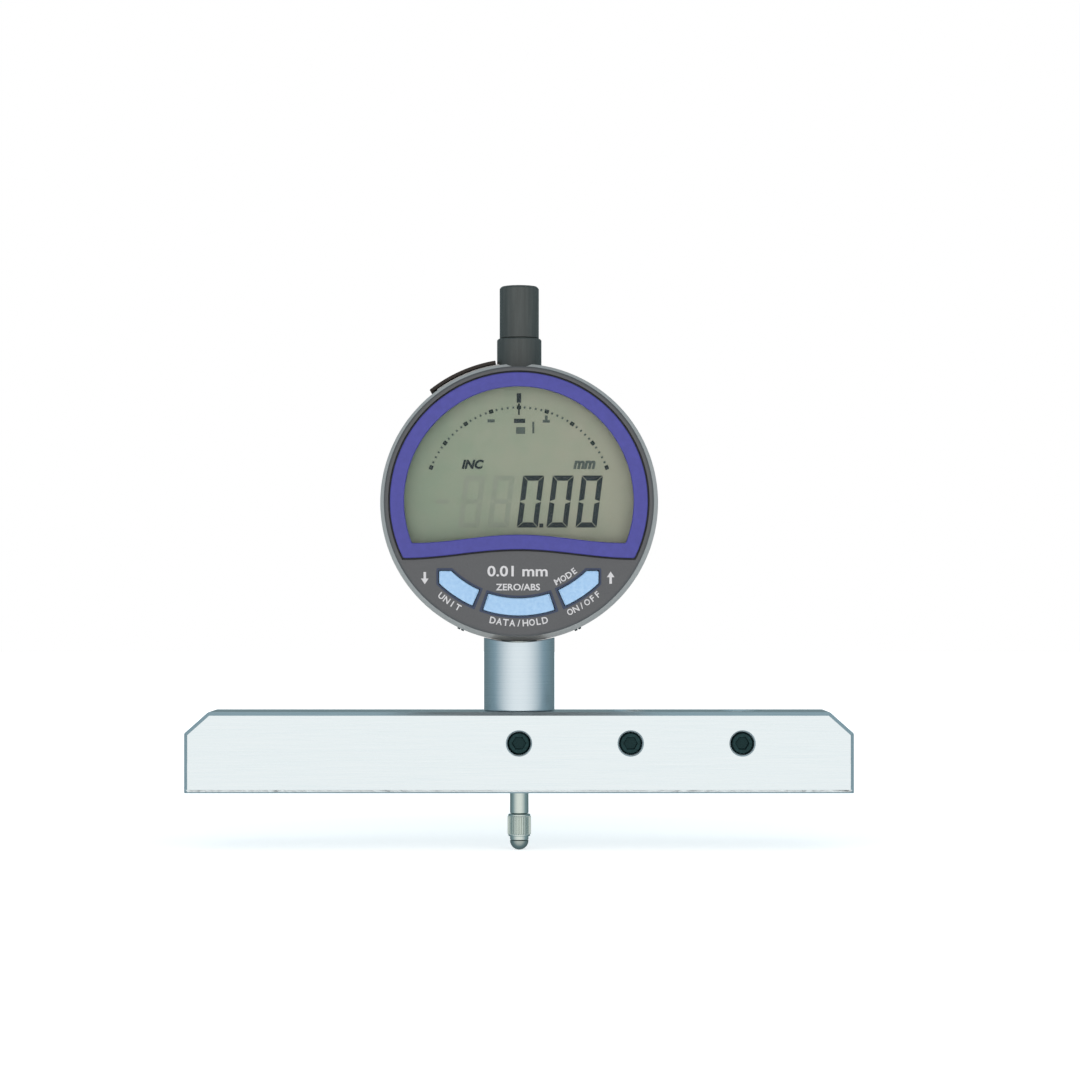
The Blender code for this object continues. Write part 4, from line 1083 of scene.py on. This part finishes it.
kept = {
    "hardenedSteel": ["stem", "guide_rod", "retaining_ring"],
    "turnedBrass": ["lower_bush", "upper_bush", "battery_contact_minus", "battery_contact_plus"],
    "nitrile": ["stem_wiper", "friction_ring", "back_gasket", "battery_seal", "keypad_mat"],
    "whiteAcetal": ["stop_sleeve"],
    "milledAluminium": ["inner_frame", "carriage", "lcd_reflector"],
    "solderResist": ["sensor_board", "main_board"],
    "blackAcetal": ["data_socket", "battery_holder"],
    "nickelPlate": ["battery_cell"],
    "scaleGlass": ["scale_strip"],
    "charcoalAbs": ["display_back_ring"],
    "stripSilicone": ["zebra_strip_lower", "zebra_strip_upper"],
}
for finish, nodes in kept.items():
    for node in nodes:
        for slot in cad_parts[node].material_slots:
            slot.material = finishes[finish]
print("kept nodes painted")


# Floor, light and camera

stage = {"floorRadius": 2.5, "floorColour": "#F4F5F5", "floorGlow": 0.62, "background": "#FFFFFF",
         "front": "#FFFFFF", "frontStrength": 1.14, "sides": "#93ABB6", "back": "#74878C", "fade": (0.1, 0.3),
         "facing": (-0.95, -0.15), "turning": (-0.1, 0.7), "sensor": 36, "frameWidth": 0.2415, "distance": 0.64,
         "cameraX": 4.7 * mm, "cameraZ": 56.5 * mm, "aimZ": 70 * mm, "lightAim": (0, 0, 0.07)}
# place, size and watts of each softbox
panels = {"upperPanel": ((0.05, -0.75, 0.85), (1.0, 0.5), 1.2), "leftPanel": ((-0.9, -0.75, 0.2), (0.5, 0.6), 0.38),
          "rightPanel": ((0.9, -0.75, 0.2), (0.5, 0.6), 0.3)}


def makeFloor():
    r, thick = stage["floorRadius"], 2 * mm
    floor = turned("floor", [(0, 0), (r, 0), (r, -thick), (0, -thick)], None,
                   Matrix.Translation((0, 0, -0.05 * mm)), 0.2 * mm, 128)
    # matt white paper, lit a little from below so that it fades into the background
    material = surfaceDetail(startMaterial("studioPaper", stage["floorColour"], 0.0, 0.95), {
        "pitch": (3 * mm, 3 * mm, 3 * mm), "colours": ("#F1F2F2", "#F6F7F7"), "roughness": (0.92, 1.0)})
    tree = material.node_tree
    shader = tree.nodes["Principled BSDF"]
    shader.inputs["Specular IOR Level"].default_value = 0.0
    shader.inputs["Emission Color"].default_value = (1, 1, 1, 1)
    # the glow grows with distance, so that only the floor beside the object can take a shadow
    place = addNode(tree, "ShaderNodeTexCoord")
    reach = addNode(tree, "ShaderNodeVectorMath", {"operation": "LENGTH"}, {0: place.outputs["Object"]})
    glow = addNode(
        tree, "ShaderNodeMapRange",
        {"From Min": stage["fade"][0], "From Max": stage["fade"][1], "To Min": stage["floorGlow"], "To Max": 1.0},
        {"Value": reach.outputs["Value"]},
    )
    tree.links.new(glow.outputs["Result"], shader.inputs["Emission Strength"])
    floor.data.materials.clear()
    floor.data.materials.append(material)
    floor.visible_glossy = False


def makeWorld():
    # bright in front of the object and dimmer, bluer round its sides, so that turned metal shows dark edges
    world = bpy.data.worlds.new("studio")
    world.use_nodes = True
    tree = world.node_tree
    tree.nodes.clear()
    path = addNode(tree, "ShaderNodeLightPath")
    place = addNode(tree, "ShaderNodeTexCoord")
    axes = addNode(tree, "ShaderNodeSeparateXYZ", {}, {"Vector": place.outputs["Generated"]})
    facing, turning = (
        addNode(tree, "ShaderNodeMapRange", {"From Min": low, "From Max": high}, {"Value": axes.outputs["Y"]})
        for low, high in (stage["facing"], stage["turning"])
    )
    front = addNode(tree, "ShaderNodeBackground", {
        "Color": hexToLinear(stage["front"]), "Strength": stage["frontStrength"]})
    sides = addNode(tree, "ShaderNodeBackground", {"Color": hexToLinear(stage["sides"])})
    back = addNode(tree, "ShaderNodeBackground", {"Color": hexToLinear(stage["back"])})
    rear = addNode(tree, "ShaderNodeMixShader", {}, {
        0: turning.outputs["Result"], 1: sides.outputs["Background"], 2: back.outputs["Background"]})
    around = addNode(tree, "ShaderNodeMixShader", {}, {
        0: facing.outputs["Result"], 1: front.outputs["Background"], 2: rear.outputs["Shader"]})
    seen = addNode(tree, "ShaderNodeBackground", {"Color": hexToLinear(stage["background"]), "Strength": 1.0})
    both = addNode(tree, "ShaderNodeMixShader", {}, {
        0: path.outputs["Is Camera Ray"], 1: around.outputs["Shader"], 2: seen.outputs["Background"]})
    addNode(tree, "ShaderNodeOutputWorld", {}, {"Surface": both.outputs["Shader"]})
    bpy.context.scene.world = world


def makeLight(name, place, size, power):
    light = bpy.data.lights.new(name, "AREA")
    light.shape = "RECTANGLE"
    light.size, light.size_y = size
    light.energy = power
    holder = addObject(name, light)
    holder.location = place
    holder.rotation_euler = (Vector(stage["lightAim"]) - Vector(place)).to_track_quat("-Z", "Y").to_euler()
    holder.visible_glossy = False


makeFloor()
makeWorld()
for name, (place, size, power) in panels.items():
    makeLight(name, place, size, power)

lens = bpy.data.cameras.new("camera")
lens.sensor_width = stage["sensor"]
lens.lens = stage["sensor"] * stage["distance"] / stage["frameWidth"]
lens.shift_y = (stage["aimZ"] - stage["cameraZ"]) / stage["frameWidth"]
lens.clip_start = 0.01
camera = addObject("camera", lens)
camera.location = (stage["cameraX"], barLow.y - stage["distance"], stage["cameraZ"])
camera.rotation_euler = (pi / 2, 0, 0)
bpy.context.scene.camera = camera
bpy.context.scene.view_settings.view_transform = "Standard"
print("stage set")
